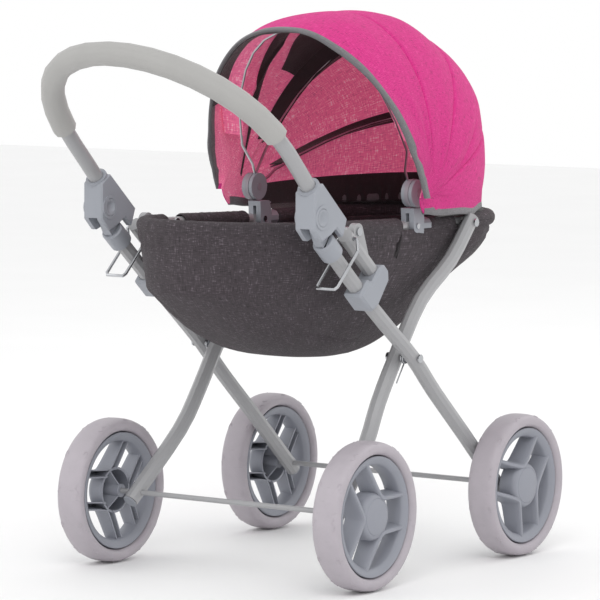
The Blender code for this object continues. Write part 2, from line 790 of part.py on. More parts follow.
def build_handle():
    pivot = (0, *JOINT)
    whole = both_sides(handle_line())
    add("handle_tube", tube(whole, TUBE_RADIUS, TUBE_DETAIL), "tube", pivot)
    foam = both_sides(handle_part(GRIP_START))
    sleeve = tube(foam, GRIP_RADIUS, TUBE_DETAIL)
    core = tube(whole, TUBE_RADIUS + GAP, TUBE_DETAIL)
    add("handle_grip", cut(sleeve, core), "grip", pivot)


def wedge(start, stop, reach):
    """A slice of a disc about the joint pivot, for the slot the knuckle's neck sweeps."""
    points = circle_points(JOINT, reach, start, stop, 8)
    return plate([JOINT] + points, SIDE_X - KNUCKLE_HALF_WIDTH - GAP,
                 SIDE_X + KNUCKLE_HALF_WIDTH + GAP)


def build_handle_joints():
    pivot = (SIDE_X, *JOINT)
    low = SIDE_X - JOINT_HALF_WIDTH
    high = SIDE_X + JOINT_HALF_WIDTH
    yoke = rounded(plate(yoke_outline(), low, high), 2.2 * MM, 1)
    bezel = bar_x(*JOINT, BEZEL_RADIUS, low - BEZEL_HEIGHT, high + BEZEL_HEIGHT, DISC)
    line = handle_line()
    way = (Vector(line[1]) - Vector(line[0])).normalized()
    foot = Vector(line[0])
    collar = bar(foot - way * 4 * MM, foot + way * 5 * MM, JOINT_HALF_WIDTH - 0.5 * MM, DISC)
    tube_socket = socket(line[:3], TUBE_RADIUS)
    slot = bar_x(*JOINT, KNUCKLE_RADIUS + GAP, SIDE_X - KNUCKLE_HALF_WIDTH - GAP,
                 SIDE_X + KNUCKLE_HALF_WIDTH + GAP, DISC)
    button_hole = bar_x(*JOINT, BUTTON_RADIUS + GAP, 0.1, 0.16, DISC)
    yoke = cut(joined(yoke, bezel, collar), tube_socket, slot, wedge(219, 338, 60 * MM), button_hole)
    add_pair("handle_yoke", yoke, "joint", pivot)

    disc = bar_x(*JOINT, KNUCKLE_RADIUS, SIDE_X - KNUCKLE_HALF_WIDTH,
                 SIDE_X + KNUCKLE_HALF_WIDTH, DISC)
    neck_steps = [(-34, 0), (-12, -7), (2, -9), (2, 9), (-16, 8), (-28, 10)]
    neck = plate([tuple(along_leg(a * MM, b * MM)) for a, b in neck_steps],
                 SIDE_X - KNUCKLE_HALF_WIDTH + GAP, SIDE_X + KNUCKLE_HALF_WIDTH - GAP)
    cup_top = along_leg(-6 * MM)
    cup_end = along_leg(17 * MM)
    cup = rounded(bar((SIDE_X, *cup_top), (SIDE_X, *cup_end), JOINT_HALF_WIDTH - 0.4 * MM, DISC),
                  1.5 * MM, 1)
    leg_socket = socket(leg_path(front_leg_line())[:6], TUBE_RADIUS)
    knuckle = cut(joined(disc, neck, cup), leg_socket, button_hole)
    add_pair("handle_knuckle", knuckle, "joint")

    face = high + BEZEL_HEIGHT
    button = bar_x(*JOINT, BUTTON_RADIUS, 2 * SIDE_X - face, face, DISC)
    dishes = []
    for end, way_x in ((face, 1), (2 * SIDE_X - face, -1)):
        reach = BUTTON_RADIUS * 0.8
        radius = (reach ** 2 + BUTTON_DISH ** 2) / (2 * BUTTON_DISH)
        work = bmesh.new()
        bmesh.ops.create_uvsphere(work, u_segments=DISC, v_segments=DISC, radius=radius)
        centre = (end + way_x * (radius - BUTTON_DISH), *JOINT)
        bmesh.ops.transform(work, matrix=Matrix.Translation(centre), verts=work.verts)
        mesh = bpy.data.meshes.new("dish")
        work.to_mesh(mesh)
        work.free()
        dishes.append(mesh)
    add_pair("handle_button", cut(button, *dishes), "joint", pivot)


# ---- bassinet rim, hinge clips ------------------------------------------------------------

def rim_arc(y_end, sign, steps=9):
    """Half of a U: the round end from the side tube to the middle."""
    radius = RIM_HALF_WIDTH
    centre = y_end - sign * radius
    line = []
    for index in range(steps + 1):
        angle = math.radians(90) * index / steps
        y = centre + sign * radius * math.sin(angle)
        line.append((radius * math.cos(angle), y, rim_z(y)))
    return line


def build_rims():
    eye = strut_eye()
    back_start = HINGE_Y - HINGE_SETBACK
    rear = [(RIM_HALF_WIDTH, back_start, rim_z(back_start))] + rim_arc(RIM_REAR, -1)
    body = tube(both_sides(rear), RIM_TUBE_RADIUS, 3)
    half = TONGUE_HEIGHT / 2
    outline = ([(back_start - 8 * MM, rim_z(back_start) - half)]
               + circle_points(HINGE, half, -90, 90, 8)
               + [(back_start - 8 * MM, rim_z(back_start) + half)])
    tongue = plate(outline, RIM_HALF_WIDTH - TONGUE_THICKNESS / 2,
                   RIM_HALF_WIDTH + TONGUE_THICKNESS / 2)
    body = joined(body, tongue, mirrored(tongue))
    holes = []
    for place, radius in ((eye, BOLT_RADIUS), (HINGE, HINGE_PIN_RADIUS)):
        drill = hole(*place, radius)
        holes.extend((drill, mirrored(drill)))
    add("rim_rear", cut(body, *holes), "tube", (0, *eye))

    front_start = HINGE_Y + HINGE_SETBACK
    front = [(RIM_HALF_WIDTH, front_start, RIM_HEIGHT)] + rim_arc(RIM_FRONT, 1)
    add("rim_front", tube(both_sides(front), RIM_TUBE_RADIUS, 3), "tube", (0, *HINGE))

    inner = RIM_HALF_WIDTH + RIM_TUBE_RADIUS + 0.5 * MM
    bolt = headed_bolt(LEG_BOLT_Y, RIM_HEIGHT, inner, REAR_LEG_X + TUBE_RADIUS,
                       inner_head=False)
    add_pair("rim_bolt", bolt, "steel", (0, *PIVOT))


def build_clips():
    """Two cheeks round the rear tube's tongue, a socket for the front tube, a seat for the hub."""
    y, z = HINGE
    half = 8 * MM
    hub_low = HOOD_PIVOT_Z - HUB_DISC_RADIUS - GAP
    outline = circle_points(HINGE, 7 * MM, 180, 285, 8) + [
        (y + 12 * MM, z - half), (y + 13 * MM, z + half), (y + 9 * MM, hub_low),
        (y - 8 * MM, hub_low), (y - 7 * MM, z + 8 * MM)]
    body = rounded(plate(outline, RIM_HALF_WIDTH - half, RIM_HALF_WIDTH + half), 1.2 * MM, 1)
    sleeve = bar((RIM_HALF_WIDTH, y + 8 * MM, z), (RIM_HALF_WIDTH, y + 27 * MM, z), half)
    tab = box((RIM_HALF_WIDTH - 5 * MM, y + 6 * MM, hub_low - 3.4 * MM),
              (RIM_HALF_WIDTH + 5 * MM, y + 16 * MM, hub_low - 1.6 * MM))
    bore = socket([(RIM_HALF_WIDTH, y + HINGE_SETBACK, z), (RIM_HALF_WIDTH, y + 40 * MM, z)],
                  RIM_TUBE_RADIUS)
    slot = bar_x(y, z, HINGE_SETBACK, RIM_HALF_WIDTH - TONGUE_THICKNESS / 2 - GAP,
                 RIM_HALF_WIDTH + TONGUE_THICKNESS / 2 + GAP, DISC)
    body = cut(joined(body, sleeve, tab), bore, slot, hole(y, z, HINGE_PIN_RADIUS))
    add_pair("hood_clip", body, "joint", (RIM_HALF_WIDTH, *HINGE))
    pin = joined(bar_x(y, z, HINGE_PIN_RADIUS, RIM_HALF_WIDTH - half - GAP - 1 * MM,
                       RIM_HALF_WIDTH + half + GAP + 1 * MM),
                 bar_x(y, z, 3 * MM, RIM_HALF_WIDTH + half + GAP,
                       RIM_HALF_WIDTH + half + GAP + 1 * MM),
                 bar_x(y, z, 3 * MM, RIM_HALF_WIDTH - half - GAP - 1 * MM,
                       RIM_HALF_WIDTH - half - GAP))
    add_pair("rim_hinge_pin", pin, "steel", (RIM_HALF_WIDTH, *HINGE))


# ---- hood ------------------------------------------------------------------------------------

def hood_reach(angle):
    """Distance from the fan line to the middle of the hood, by angle above the front."""
    for spot in range(1, len(HOOD_REACH) - 2):
        if angle <= HOOD_REACH[spot + 1][0] or spot == len(HOOD_REACH) - 3:
            break
    before, low, high, after = HOOD_REACH[spot - 1:spot + 3]
    span = high[0] - low[0]
    share = (angle - low[0]) / span
    leave = (high[1] - before[1]) / (high[0] - before[0]) * span
    arrive = (after[1] - low[1]) / (after[0] - low[0]) * span
    cube, square = share ** 3, share ** 2
    reach = ((2 * cube - 3 * square + 1) * low[1] + (cube - 2 * square + share) * leave
             + (3 * square - 2 * cube) * high[1] + (cube - square) * arrive)
    return reach * MM


def bow_reach(angle):
    """Distance from the hub axis to the middle of the hood, along a line at an angle."""
    best = None
    for index in range(HOOD_OPEN_ANGLE * 4 + 1):
        fan = math.radians(index / 4)
        reach = hood_reach(index / 4)
        y = HOOD_FAN_Y + reach * math.cos(fan) - HOOD_PIVOT_Y
        z = HOOD_FAN_Z + reach * math.sin(fan) - HOOD_PIVOT_Z
        error = abs(math.degrees(math.atan2(z, y)) - angle)
        if best is None or error < best[0]:
            best = (error, math.hypot(y, z))
    return best[1]


def hood_arc(angle, half_width, reach, stop_low, count, axis):
    """An arch over an axis (y, z) in the plane at an angle above the front."""
    way = (math.cos(math.radians(angle)), math.sin(math.radians(angle)))
    spots = []
    for index in range(count + 1):
        turn = stop_low + (math.pi - 2 * stop_low) * index / count
        across = half_width * side_power(math.cos(turn), HOOD_ROUNDNESS)
        along = reach * side_power(math.sin(turn), HOOD_ROUNDNESS)
        spots.append((across, axis[0] + along * way[0], axis[1] + along * way[1]))
    return spots


def lofted(rows, cap_last=False):
    """A skin over rows of points that all have the same number of spots."""
    work = bmesh.new()
    grid = [[work.verts.new(spot) for spot in row] for row in rows]
    for lower, upper in zip(grid, grid[1:]):
        for a, b, c, d in zip(lower, lower[1:], upper[1:], upper):
            work.faces.new((a, b, c, d))
    if cap_last:
        work.faces.new(grid[-1])
    bmesh.ops.remove_doubles(work, verts=work.verts, dist=0.0001)
    bmesh.ops.recalc_face_normals(work, faces=work.faces)
    mesh = bpy.data.meshes.new("skin")
    work.to_mesh(mesh)
    work.free()
    return mesh


def thickened(mesh, thickness, inward_point):
    """Gives an open skin a wall on the side of a point inside it."""
    face = max(mesh.polygons, key=lambda polygon: polygon.area)
    facing_in = face.normal.dot(Vector(inward_point) - face.center) > 0
    item = shape(mesh)
    step = item.modifiers.new("wall", "SOLIDIFY")
    step.thickness = thickness
    step.offset = 1 if facing_in else -1
    return outward(evaluated(item))


def build_hood():
    rows = []
    fan = (HOOD_FAN_Y, HOOD_FAN_Z)
    first = hood_arc(0, HOOD_HALF_WIDTH, hood_reach(0), 0, HOOD_SPOTS, fan)
    rows.append([(x, y, z - HOOD_SKIRT) for x, y, z in first])
    bands = 10
    for index in range(bands + 1):
        angle = HOOD_OPEN_ANGLE * index / bands
        rows.append(hood_arc(angle, HOOD_HALF_WIDTH, hood_reach(angle), 0, HOOD_SPOTS, fan))
    inside = (0, HOOD_PIVOT_Y + 0.05, HOOD_PIVOT_Z + 0.05)
    hood = thickened(lofted(rows), HOOD_CLOTH, inside)
    add("hood", hood, "hood", (0, *HOOD_PIVOT))


def bow_mesh(angle, x_foot, foot):
    """A wire arch, from one hub over the top to the other."""
    reach = bow_reach(angle) - HOOD_CLOTH - BOW_WIRE - 4 * MM
    half_width = HUB_X + BOW_FLARE
    low = math.asin((48 * MM / reach) ** (HOOD_ROUNDNESS / 2))
    arch = hood_arc(angle, half_width, reach, low, 14, HOOD_PIVOT)
    way = (math.cos(math.radians(angle)), math.sin(math.radians(angle)))
    near = (x_foot, HOOD_PIVOT_Y + foot * way[0], HOOD_PIVOT_Z + foot * way[1])
    step = 26 * MM
    up = (x_foot, HOOD_PIVOT_Y + step * way[0], HOOD_PIVOT_Z + step * way[1])
    line = [near, up] + arch + [(-up[0], *up[1:]), (-near[0], *near[1:])]
    return tube(line, BOW_WIRE, 1)


def hub_layer(x_mid, radius):
    return bar_x(*HOOD_PIVOT, radius, x_mid - HUB_LAYER / 2, x_mid + HUB_LAYER / 2, DISC)


def build_bows():
    """Front and middle bows turn on the hub pins; the rear one is held by the hubs."""
    spacing = HUB_LAYER + GAP
    drill = bar_x(*HOOD_PIVOT, HUB_PIN_RADIUS + GAP, -0.2, 0.2)
    pivot = (0, *HOOD_PIVOT)
    for name, layer in (("front", -1), ("middle", 1)):
        x_foot = HUB_X + layer * spacing
        boss = hub_layer(x_foot, HUB_DISC_RADIUS - 0.6 * MM)
        body = joined(bow_mesh(BOW_ANGLES[name], x_foot, HUB_DISC_RADIUS * 0.7), boss,
                      mirrored(boss))
        add("hood_bow_" + name, cut(body, drill), "steel", pivot)
    rear = bow_mesh(BOW_ANGLES["rear"], HUB_X, HUB_DISC_RADIUS + GAP)
    add("hood_bow_rear", rear, "steel", pivot)
    reach = 1.5 * HUB_LAYER + GAP + 0.4 * MM
    hub = joined(hub_layer(HUB_X, HUB_DISC_RADIUS),
                 bar_x(*HOOD_PIVOT, HUB_PIN_RADIUS, HUB_X - reach, HUB_X + reach))
    add_pair("hood_hub", hub, "joint", (HUB_X, *HOOD_PIVOT))


# ---- bassinet bag -------------------------------------------------------------------------

def bag_ring(share, count=32):
    """One level of the bag. Share runs from the bottom, 0, to the top edge, 1."""
    height = BAG_BOTTOM + (BAG_TOP - BAG_BOTTOM) * share
    rear = RIM_REAR * (0.12 + 0.875 * min(1, share / 0.58) ** 0.42)
    front = RIM_FRONT * (0.02 + 0.975 * share ** 0.62)
    half_width = BAG_HALF_WIDTH * (0.25 + 0.75 * min(1, share / 0.6) ** 0.40)
    centre = (rear + front) / 2
    half_length = (front - rear) / 2
    spots = []
    for index in range(count):
        angle = 2 * math.pi * index / count
        x = half_width * side_power(math.cos(angle), BAG_ROUNDNESS)
        y = centre + half_length * side_power(math.sin(angle), BAG_ROUNDNESS)
        spots.append((x, y, height))
    return spots + spots[:1]


def build_bag():
    levels = (1, 0.75, 0.55, 0.36, 0.2, 0.08, 0)
    rows = [bag_ring(share) for share in levels]
    work = bmesh.new()
    work.from_mesh(lofted(rows))
    lowest = min(vert.co.z for vert in work.verts)
    rim = [edge for edge in work.edges if edge.is_boundary
           and all(vert.co.z < lowest + 1 * MM for vert in edge.verts)]
    bmesh.ops.holes_fill(work, edges=rim)
    bmesh.ops.recalc_face_normals(work, faces=work.faces)
    mesh = bpy.data.meshes.new("bag")
    work.to_mesh(mesh)
    work.free()
    bag = thickened(mesh, BAG_CLOTH, (0, 0, (BAG_TOP + BAG_BOTTOM) / 2))
    add("bassinet_bag", bag, "bag", (0, *strut_eye()))


def main():
    build_wheels()
    build_axles()
    build_legs()
    build_pivot()
    build_struts()
    build_brackets()
    build_bails()
    build_handle()
    build_handle_joints()
    build_rims()
    build_clips()
    build_hood()
    build_bows()
    build_bag()


main()
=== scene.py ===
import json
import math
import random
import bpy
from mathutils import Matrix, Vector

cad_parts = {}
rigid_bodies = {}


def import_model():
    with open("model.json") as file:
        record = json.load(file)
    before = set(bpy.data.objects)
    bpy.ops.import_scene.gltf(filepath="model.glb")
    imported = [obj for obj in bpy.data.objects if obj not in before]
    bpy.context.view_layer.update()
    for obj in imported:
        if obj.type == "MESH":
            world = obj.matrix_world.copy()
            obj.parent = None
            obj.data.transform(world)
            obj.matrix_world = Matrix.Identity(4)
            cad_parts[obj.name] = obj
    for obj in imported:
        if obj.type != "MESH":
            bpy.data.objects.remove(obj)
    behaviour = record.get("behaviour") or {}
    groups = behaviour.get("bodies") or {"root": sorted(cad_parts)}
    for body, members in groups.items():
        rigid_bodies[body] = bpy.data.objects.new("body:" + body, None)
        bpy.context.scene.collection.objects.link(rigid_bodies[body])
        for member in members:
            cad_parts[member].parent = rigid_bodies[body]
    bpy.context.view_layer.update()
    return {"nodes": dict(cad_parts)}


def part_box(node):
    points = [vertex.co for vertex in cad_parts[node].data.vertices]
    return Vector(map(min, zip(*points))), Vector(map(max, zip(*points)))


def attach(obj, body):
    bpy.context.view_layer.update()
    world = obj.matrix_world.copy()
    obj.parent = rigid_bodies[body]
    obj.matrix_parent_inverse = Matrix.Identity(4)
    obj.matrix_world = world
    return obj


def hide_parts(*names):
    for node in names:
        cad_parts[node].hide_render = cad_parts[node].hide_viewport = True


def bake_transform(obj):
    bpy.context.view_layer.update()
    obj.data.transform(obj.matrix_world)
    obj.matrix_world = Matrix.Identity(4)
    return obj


bl_info = {
    "name": "Doll pram looks",
    "version": (1, 0, 0),
    "blender": (4, 5, 0),
    "location": "3D View > Sidebar > Doll pram",
    "description": "Dresses a folding doll pram frame in fabric, foam, paint and moulded plastic",
    "category": "Object",
}

import bpy
from mathutils import Matrix, Vector, noise

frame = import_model()

MM = 0.001
SIDES = (("left", -1), ("right", 1))
CORNERS = ("rear_left", "rear_right", "front_left", "front_right")


def middle(node):
    """Centre of a frame node's box."""
    low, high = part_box(node)
    return (low + high) / 2


SHIFT_Y = middle("front_axle").y - 143.5 * MM
HUB = Vector((0, middle("hood_hub_right").y, middle("hood_hub_right").z))


def at(x, y, z):
    """A place in the pram's own millimetres, as a point in metres."""
    return Vector((x * MM, y * MM + SHIFT_Y, z * MM))


# ---- shader maths --------------------------------------------------------------------------

class Signal:
    """A number socket that Python arithmetic works on."""

    def __init__(self, recipe, socket):
        self.recipe = recipe
        self.socket = socket

    def combine(self, operation, *others):
        node = self.recipe.node("ShaderNodeMath", {"operation": operation}, self, *others)
        return Signal(self.recipe, node.outputs[0])

    def __add__(self, other):
        return self.combine("ADD", other)

    def __radd__(self, other):
        return self.combine("ADD", other)

    def __sub__(self, other):
        return self.combine("SUBTRACT", other)

    def __rsub__(self, other):
        return self.combine("MULTIPLY_ADD", -1, other)

    def __mul__(self, other):
        return self.combine("MULTIPLY", other)

    def __rmul__(self, other):
        return self.combine("MULTIPLY", other)

    def sine(self):
        return self.combine("SINE")

    def between(self, low, high):
        """0 below low, 1 above high, smooth in between."""
        node = self.recipe.node("ShaderNodeMapRange", {"interpolation_type": "SMOOTHSTEP"},
                                self, low, high, 0.0, 1.0)
        return Signal(self.recipe, node.outputs[0])


class Recipe:
    """One material and the nodes that make it."""

    def __init__(self, name):
        self.material = bpy.data.materials.new(name)
        self.material.use_nodes = True
        self.tree = self.material.node_tree
        self.tree.nodes.clear()
        self.shader = self.node("ShaderNodeBsdfPrincipled", {})
        end = self.node("ShaderNodeOutputMaterial", {})
        self.tree.links.new(self.shader.outputs[0], end.inputs[0])

    def node(self, kind, settings, *inputs, **named):
        """A node with its settings and then the values or links of its sockets."""
        made = self.tree.nodes.new(kind)
        for key, value in settings.items():
            setattr(made, key, value)
        for index, value in enumerate(inputs):
            self.feed(made.inputs[index], value)
        for key, value in named.items():
            self.feed(made.inputs[key.replace("_", " ")], value)
        return made

    def feed(self, socket, value):
        if isinstance(value, Signal):
            self.tree.links.new(value.socket, socket)
        elif isinstance(value, bpy.types.NodeSocket):
            self.tree.links.new(value, socket)
        elif value is not None:
            socket.default_value = value

    def coordinates(self, kind):
        return self.node("ShaderNodeTexCoord", {}).outputs[kind]

    def stretched(self, vector, scale):
        made = self.node("ShaderNodeMapping", {}, vector)
        made.inputs["Scale"].default_value = scale
        return made.outputs[0]

    def noise(self, vector, scale, detail=2.0, roughness=0.5):
        made = self.node("ShaderNodeTexNoise", {}, Vector=vector, Scale=scale, Detail=detail,
                         Roughness=roughness)
        return Signal(self, made.outputs[0])

    def parts(self, vector):
        made = self.node("ShaderNodeSeparateXYZ", {}, vector)
        return [Signal(self, output) for output in made.outputs]

    def mixed(self, amount, first, second):
        """A colour between two, by an amount from 0 to 1."""
        made = self.node("ShaderNodeMix", {"data_type": "RGBA"})
        self.feed(made.inputs[0], amount)
        for socket, value in ((made.inputs[6], first), (made.inputs[7], second)):
            self.feed(socket, (*value, 1) if isinstance(value, tuple) else value)
        return made.outputs[2]

    def bumped(self, height, distance, strength=1.0):
        made = self.node("ShaderNodeBump", {}, Strength=strength, Distance=distance, Height=height)
        return made.outputs[0]

    def finish(self, **values):
        for key, value in values.items():
            self.feed(self.shader.inputs[key.replace("_", " ")], value)
        return self.material


def shade(colour, factor):
    return tuple(channel * factor for channel in colour)


def painted(name, colour):
    """Satin paint on steel tube: faint orange peel and slightly duller patches."""
    recipe = Recipe(name)
    place = recipe.coordinates("Object")
    patches = recipe.noise(place, 35, 3)
    peel = recipe.noise(place, 900, 2)
    specks = recipe.noise(place, 2600, 1).between(0.7, 0.78)
    tint = recipe.mixed(patches, shade(colour, 0.95), shade(colour, 1.04))
    tint = recipe.mixed(specks * 0.25, tint, shade(colour, 1.25))
    return recipe.finish(Base_Color=tint, Roughness=patches * 0.1 + 0.33, Coat_Weight=0.25,
                         Coat_Roughness=0.2, Normal=recipe.bumped(peel, 0.00004, 0.5))


def moulded(name, colour, rough, grain=0.00006):
    """Moulded plastic with a fine spark-eroded grain and soft handling marks."""
    recipe = Recipe(name)
    place = recipe.coordinates("Object")
    clouds = recipe.noise(place, 26, 3)
    fine = recipe.noise(place, 1900, 2)
    marks = recipe.noise(recipe.stretched(place, (1, 9, 1)), 90, 3).between(0.6, 0.75)
    tint = recipe.mixed(clouds, shade(colour, 0.94), shade(colour, 1.05))
    return recipe.finish(Base_Color=tint, Roughness=fine * 0.08 + marks * 0.06 + rough,
                         Normal=recipe.bumped(fine, grain, 0.6))


def foam(name, colour):
    """Grip foam: closed cells, fine drawn lines along it and paler rubbed spots."""
    recipe = Recipe(name)
    place = recipe.coordinates("Object")
    cells = recipe.node("ShaderNodeTexVoronoi", {"feature": "F1"}, Vector=place, Scale=900.0)
    cell = Signal(recipe, cells.outputs[0])
    lines = (recipe.parts(place)[0] * 3300).sine()
    clouds = recipe.noise(place, 30, 4)
    tint = recipe.mixed(clouds, shade(colour, 0.93), shade(colour, 1.06))
    height = cell * 0.8 + lines * 0.12
    return recipe.finish(Base_Color=tint, Roughness=clouds * 0.1 + 0.72,
                         Normal=recipe.bumped(height, 0.00016, 0.7), Sheen_Weight=0.15)


def tread(name, colour):
    """Soft foam rubber of a tyre: mottled, a little waxy, scuffed on the running face."""
    recipe = Recipe(name)
    place = recipe.coordinates("Object")
    mottle = recipe.noise(place, 70, 4, 0.6)
    pores = recipe.noise(place, 1200, 2)
    scuffs = recipe.noise(recipe.stretched(place, (0.3, 1, 1)), 260, 3).between(0.62, 0.74)
    tint = recipe.mixed(mottle, shade(colour, 0.9), shade(colour, 1.07))
    tint = recipe.mixed(scuffs * 0.35, tint, shade(colour, 0.8))
    return recipe.finish(Base_Color=tint, Roughness=mottle * 0.16 + 0.42,
                         Normal=recipe.bumped(pores + mottle * 2.0, 0.00012, 0.5))


def plated(name, colour):
    """Bright zinc or chrome plate with faint drawing lines."""
    recipe = Recipe(name)
    place = recipe.coordinates("Object")
    lines = recipe.noise(recipe.stretched(place, (0.05, 1, 1)), 1500, 2)
    clouds = recipe.noise(place, 60, 2)
    tint = recipe.mixed(clouds, shade(colour, 0.92), colour)
    return recipe.finish(Base_Color=tint, Metallic=1.0, Roughness=lines * 0.12 + 0.18,
                         Normal=recipe.bumped(lines, 0.00002, 0.4))


def bow_wire(name, metal, plastic):
    """Plated wire whose ends are moulded into plastic discs at the hubs."""
    recipe = Recipe(name)
    place = recipe.coordinates("Object")
    _, y, z = recipe.parts(place)
    away = (y - HUB.y) * (y - HUB.y) + (z - HUB.z) * (z - HUB.z)
    wire = away.between((15.6 * MM) ** 2, (16.2 * MM) ** 2)
    lines = recipe.noise(place, 900, 2)
    tint = recipe.mixed(wire, plastic, metal)
    return recipe.finish(Base_Color=tint, Metallic=wire, Roughness=lines * 0.1 + 0.42 - wire * 0.14,
                         Normal=recipe.bumped(lines, 0.00003, 0.5))


def woven(name, dark, base, light, rough=0.85, thread=1.1, contrast=1.0, sheen=0.25, painted_backlight_glow=0.0):
    """Melange plain weave. The piece's UV map is in metres: threads, slubs, heather, weave."""
    recipe = Recipe(name)
    cloth = recipe.coordinates("UV")
    fine = 1000 / thread
    warp = recipe.noise(recipe.stretched(cloth, (fine, fine / 8, 1)), 1.0, 2)
    weft = recipe.noise(recipe.stretched(cloth, (fine / 8, fine, 1)), 1.0, 2)
    clouds = recipe.noise(cloth, 38, 3)
    heather = warp * 0.5 + weft * 0.5 + clouds * 0.12 - 0.06
    tint = recipe.mixed(heather.between(0.53, 0.68) * contrast, base, light)
    tint = recipe.mixed((1 - heather.between(0.33, 0.47)) * contrast, tint, dark)
    across, along, _ = recipe.parts(cloth)
    weave = (across * (2100 * math.pi)).sine() * (along * (2100 * math.pi)).sine()
    height = weave * 0.35 + warp + weft
    # Painted light: the emission makes the cloth glow as though light came through it from behind.
    if painted_backlight_glow:
        recipe.finish(Emission_Color=tint, Emission_Strength=painted_backlight_glow)
    return recipe.finish(Base_Color=tint, Roughness=clouds * 0.08 + rough,
                         Normal=recipe.bumped(height, 0.0003, 0.8), Sheen_Weight=sheen)


# ---- modelling helpers ------------------------------------------------------------------------

def deselect():
    for item in bpy.context.selected_objects:
        item.select_set(False)


def activate(piece):
    deselect()
    piece.select_set(True)
    bpy.context.view_layer.objects.active = piece


def start(kind, name, **settings):
    """A new primitive, alone in the selection."""
    deselect()
    getattr(bpy.ops.mesh, "primitive_" + kind + "_add")(**settings)
    piece = bpy.context.object
    piece.name = name
    piece.data.name = name
    return piece


def editing(piece, select="SELECT"):
    activate(piece)
    bpy.ops.object.mode_set(mode="EDIT")
    bpy.ops.mesh.select_all(action=select)


def leave_edit():
    bpy.ops.object.mode_set(mode="OBJECT")


def apply(piece, kind, **settings):
    step = piece.modifiers.new(kind.lower(), kind)
    for key, value in settings.items():
        setattr(step, key, value)
    activate(piece)
    bpy.ops.object.modifier_apply(modifier=step.name)


def merged(piece, distance=0.00002, flip_check=True):
    editing(piece)
    bpy.ops.mesh.remove_doubles(threshold=distance)
    if flip_check:
        bpy.ops.mesh.normals_make_consistent(inside=False)
    leave_edit()


def smooth(piece, angle=35):
    activate(piece)
    bpy.ops.object.shade_smooth_by_angle(angle=math.radians(angle))


def wear(piece, *materials):
    piece.data.materials.clear()
    for material in materials:
        piece.data.materials.append(material)


def placed(piece, body, slot, *stands_for):
    """Hands a finished piece to its body and hides the nodes it stands for; slot is not used."""
    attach(piece, body)
    if stands_for:
        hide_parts(*stands_for)
    return piece


def sheet_piece(name, columns, rows, place, size):
    """A grid laid on a surface. place(u, v) gives a point for u, v from 0 to 1."""
    piece = start("grid", name, x_subdivisions=columns, y_subdivisions=rows, size=1,
                  calc_uvs=True)
    for vertex in piece.data.vertices:
        vertex.co = place(vertex.co.x + 0.5, vertex.co.y + 0.5)
    for loop in piece.data.uv_layers.active.data:
        loop.uv = (loop.uv[0] * size[0], loop.uv[1] * size[1])
    return piece


def swept(name, points, radius, sides=16, closed=False):
    """A round bar along points, made from a path curve."""
    deselect()
    bpy.ops.curve.primitive_nurbs_path_add()
    piece = bpy.context.object
    piece.name = name
    curve = piece.data
    curve.splines.clear()
    spline = curve.splines.new("POLY")
    spline.points.add(len(points) - 1)
    for spot, point in zip(spline.points, points):
        spot.co = (*point, 1)
    spline.use_cyclic_u = closed
    curve.dimensions = "3D"
    curve.bevel_depth = radius
    curve.bevel_resolution = sides // 4
    curve.use_fill_caps = not closed
    activate(piece)
    bpy.ops.object.convert(target="MESH")
    piece = bpy.context.object
    piece.data.name = name
    merged(piece)
    return piece


def turned(name, profile, steps=64):
    """A closed profile of (radius, x) spun about the X axis."""
    piece = start("circle", name, vertices=len(profile), fill_type="NOTHING", radius=1)
    for vertex, (radius, along) in zip(piece.data.vertices, profile):
        vertex.co = (along, radius, 0)
    editing(piece)
    bpy.ops.mesh.spin(steps=steps, angle=math.tau, center=(0, 0, 0), axis=(1, 0, 0))
    bpy.ops.mesh.select_all(action="SELECT")
    bpy.ops.mesh.remove_doubles(threshold=0.00002)
    bpy.ops.mesh.normals_make_consistent(inside=False)
    leave_edit()
    return piece


def slab(name, outline, low, high, bevel=0.0, segments=3):
    """A flat plate with an outline in Y and Z, from x low to x high, its edges rounded."""
    piece = start("circle", name, vertices=len(outline), fill_type="NGON", radius=1)
    for vertex, (y, z) in zip(piece.data.vertices, outline):
        vertex.co = (low, y, z)
    editing(piece)
    bpy.ops.mesh.extrude_region_move(TRANSFORM_OT_translate={"value": (high - low, 0, 0)})
    bpy.ops.mesh.select_all(action="SELECT")
    bpy.ops.mesh.normals_make_consistent(inside=False)
    leave_edit()
    if bevel:
        apply(piece, "BEVEL", width=bevel, segments=segments, limit_method="ANGLE",
              angle_limit=math.radians(50))
    return piece


def moved(piece, matrix):
    piece.data.transform(matrix)
    if matrix.determinant() < 0:
        editing(piece)
        bpy.ops.mesh.flip_normals()
        leave_edit()
    return piece


def copied(piece, name):
    twin = piece.copy()
    twin.data = piece.data.copy()
    twin.name = name
    twin.data.name = name
    bpy.context.scene.collection.objects.link(twin)
    return twin


def joined(name, *pieces):
    activate(pieces[0])
    for piece in pieces[1:]:
        piece.select_set(True)
    bpy.ops.object.join()
    pieces[0].name = name
    pieces[0].data.name = name
    return pieces[0]


def dropped(*pieces):
    for piece in pieces:
        bpy.data.objects.remove(piece)


MIRROR = Matrix.Diagonal((-1, 1, 1, 1))


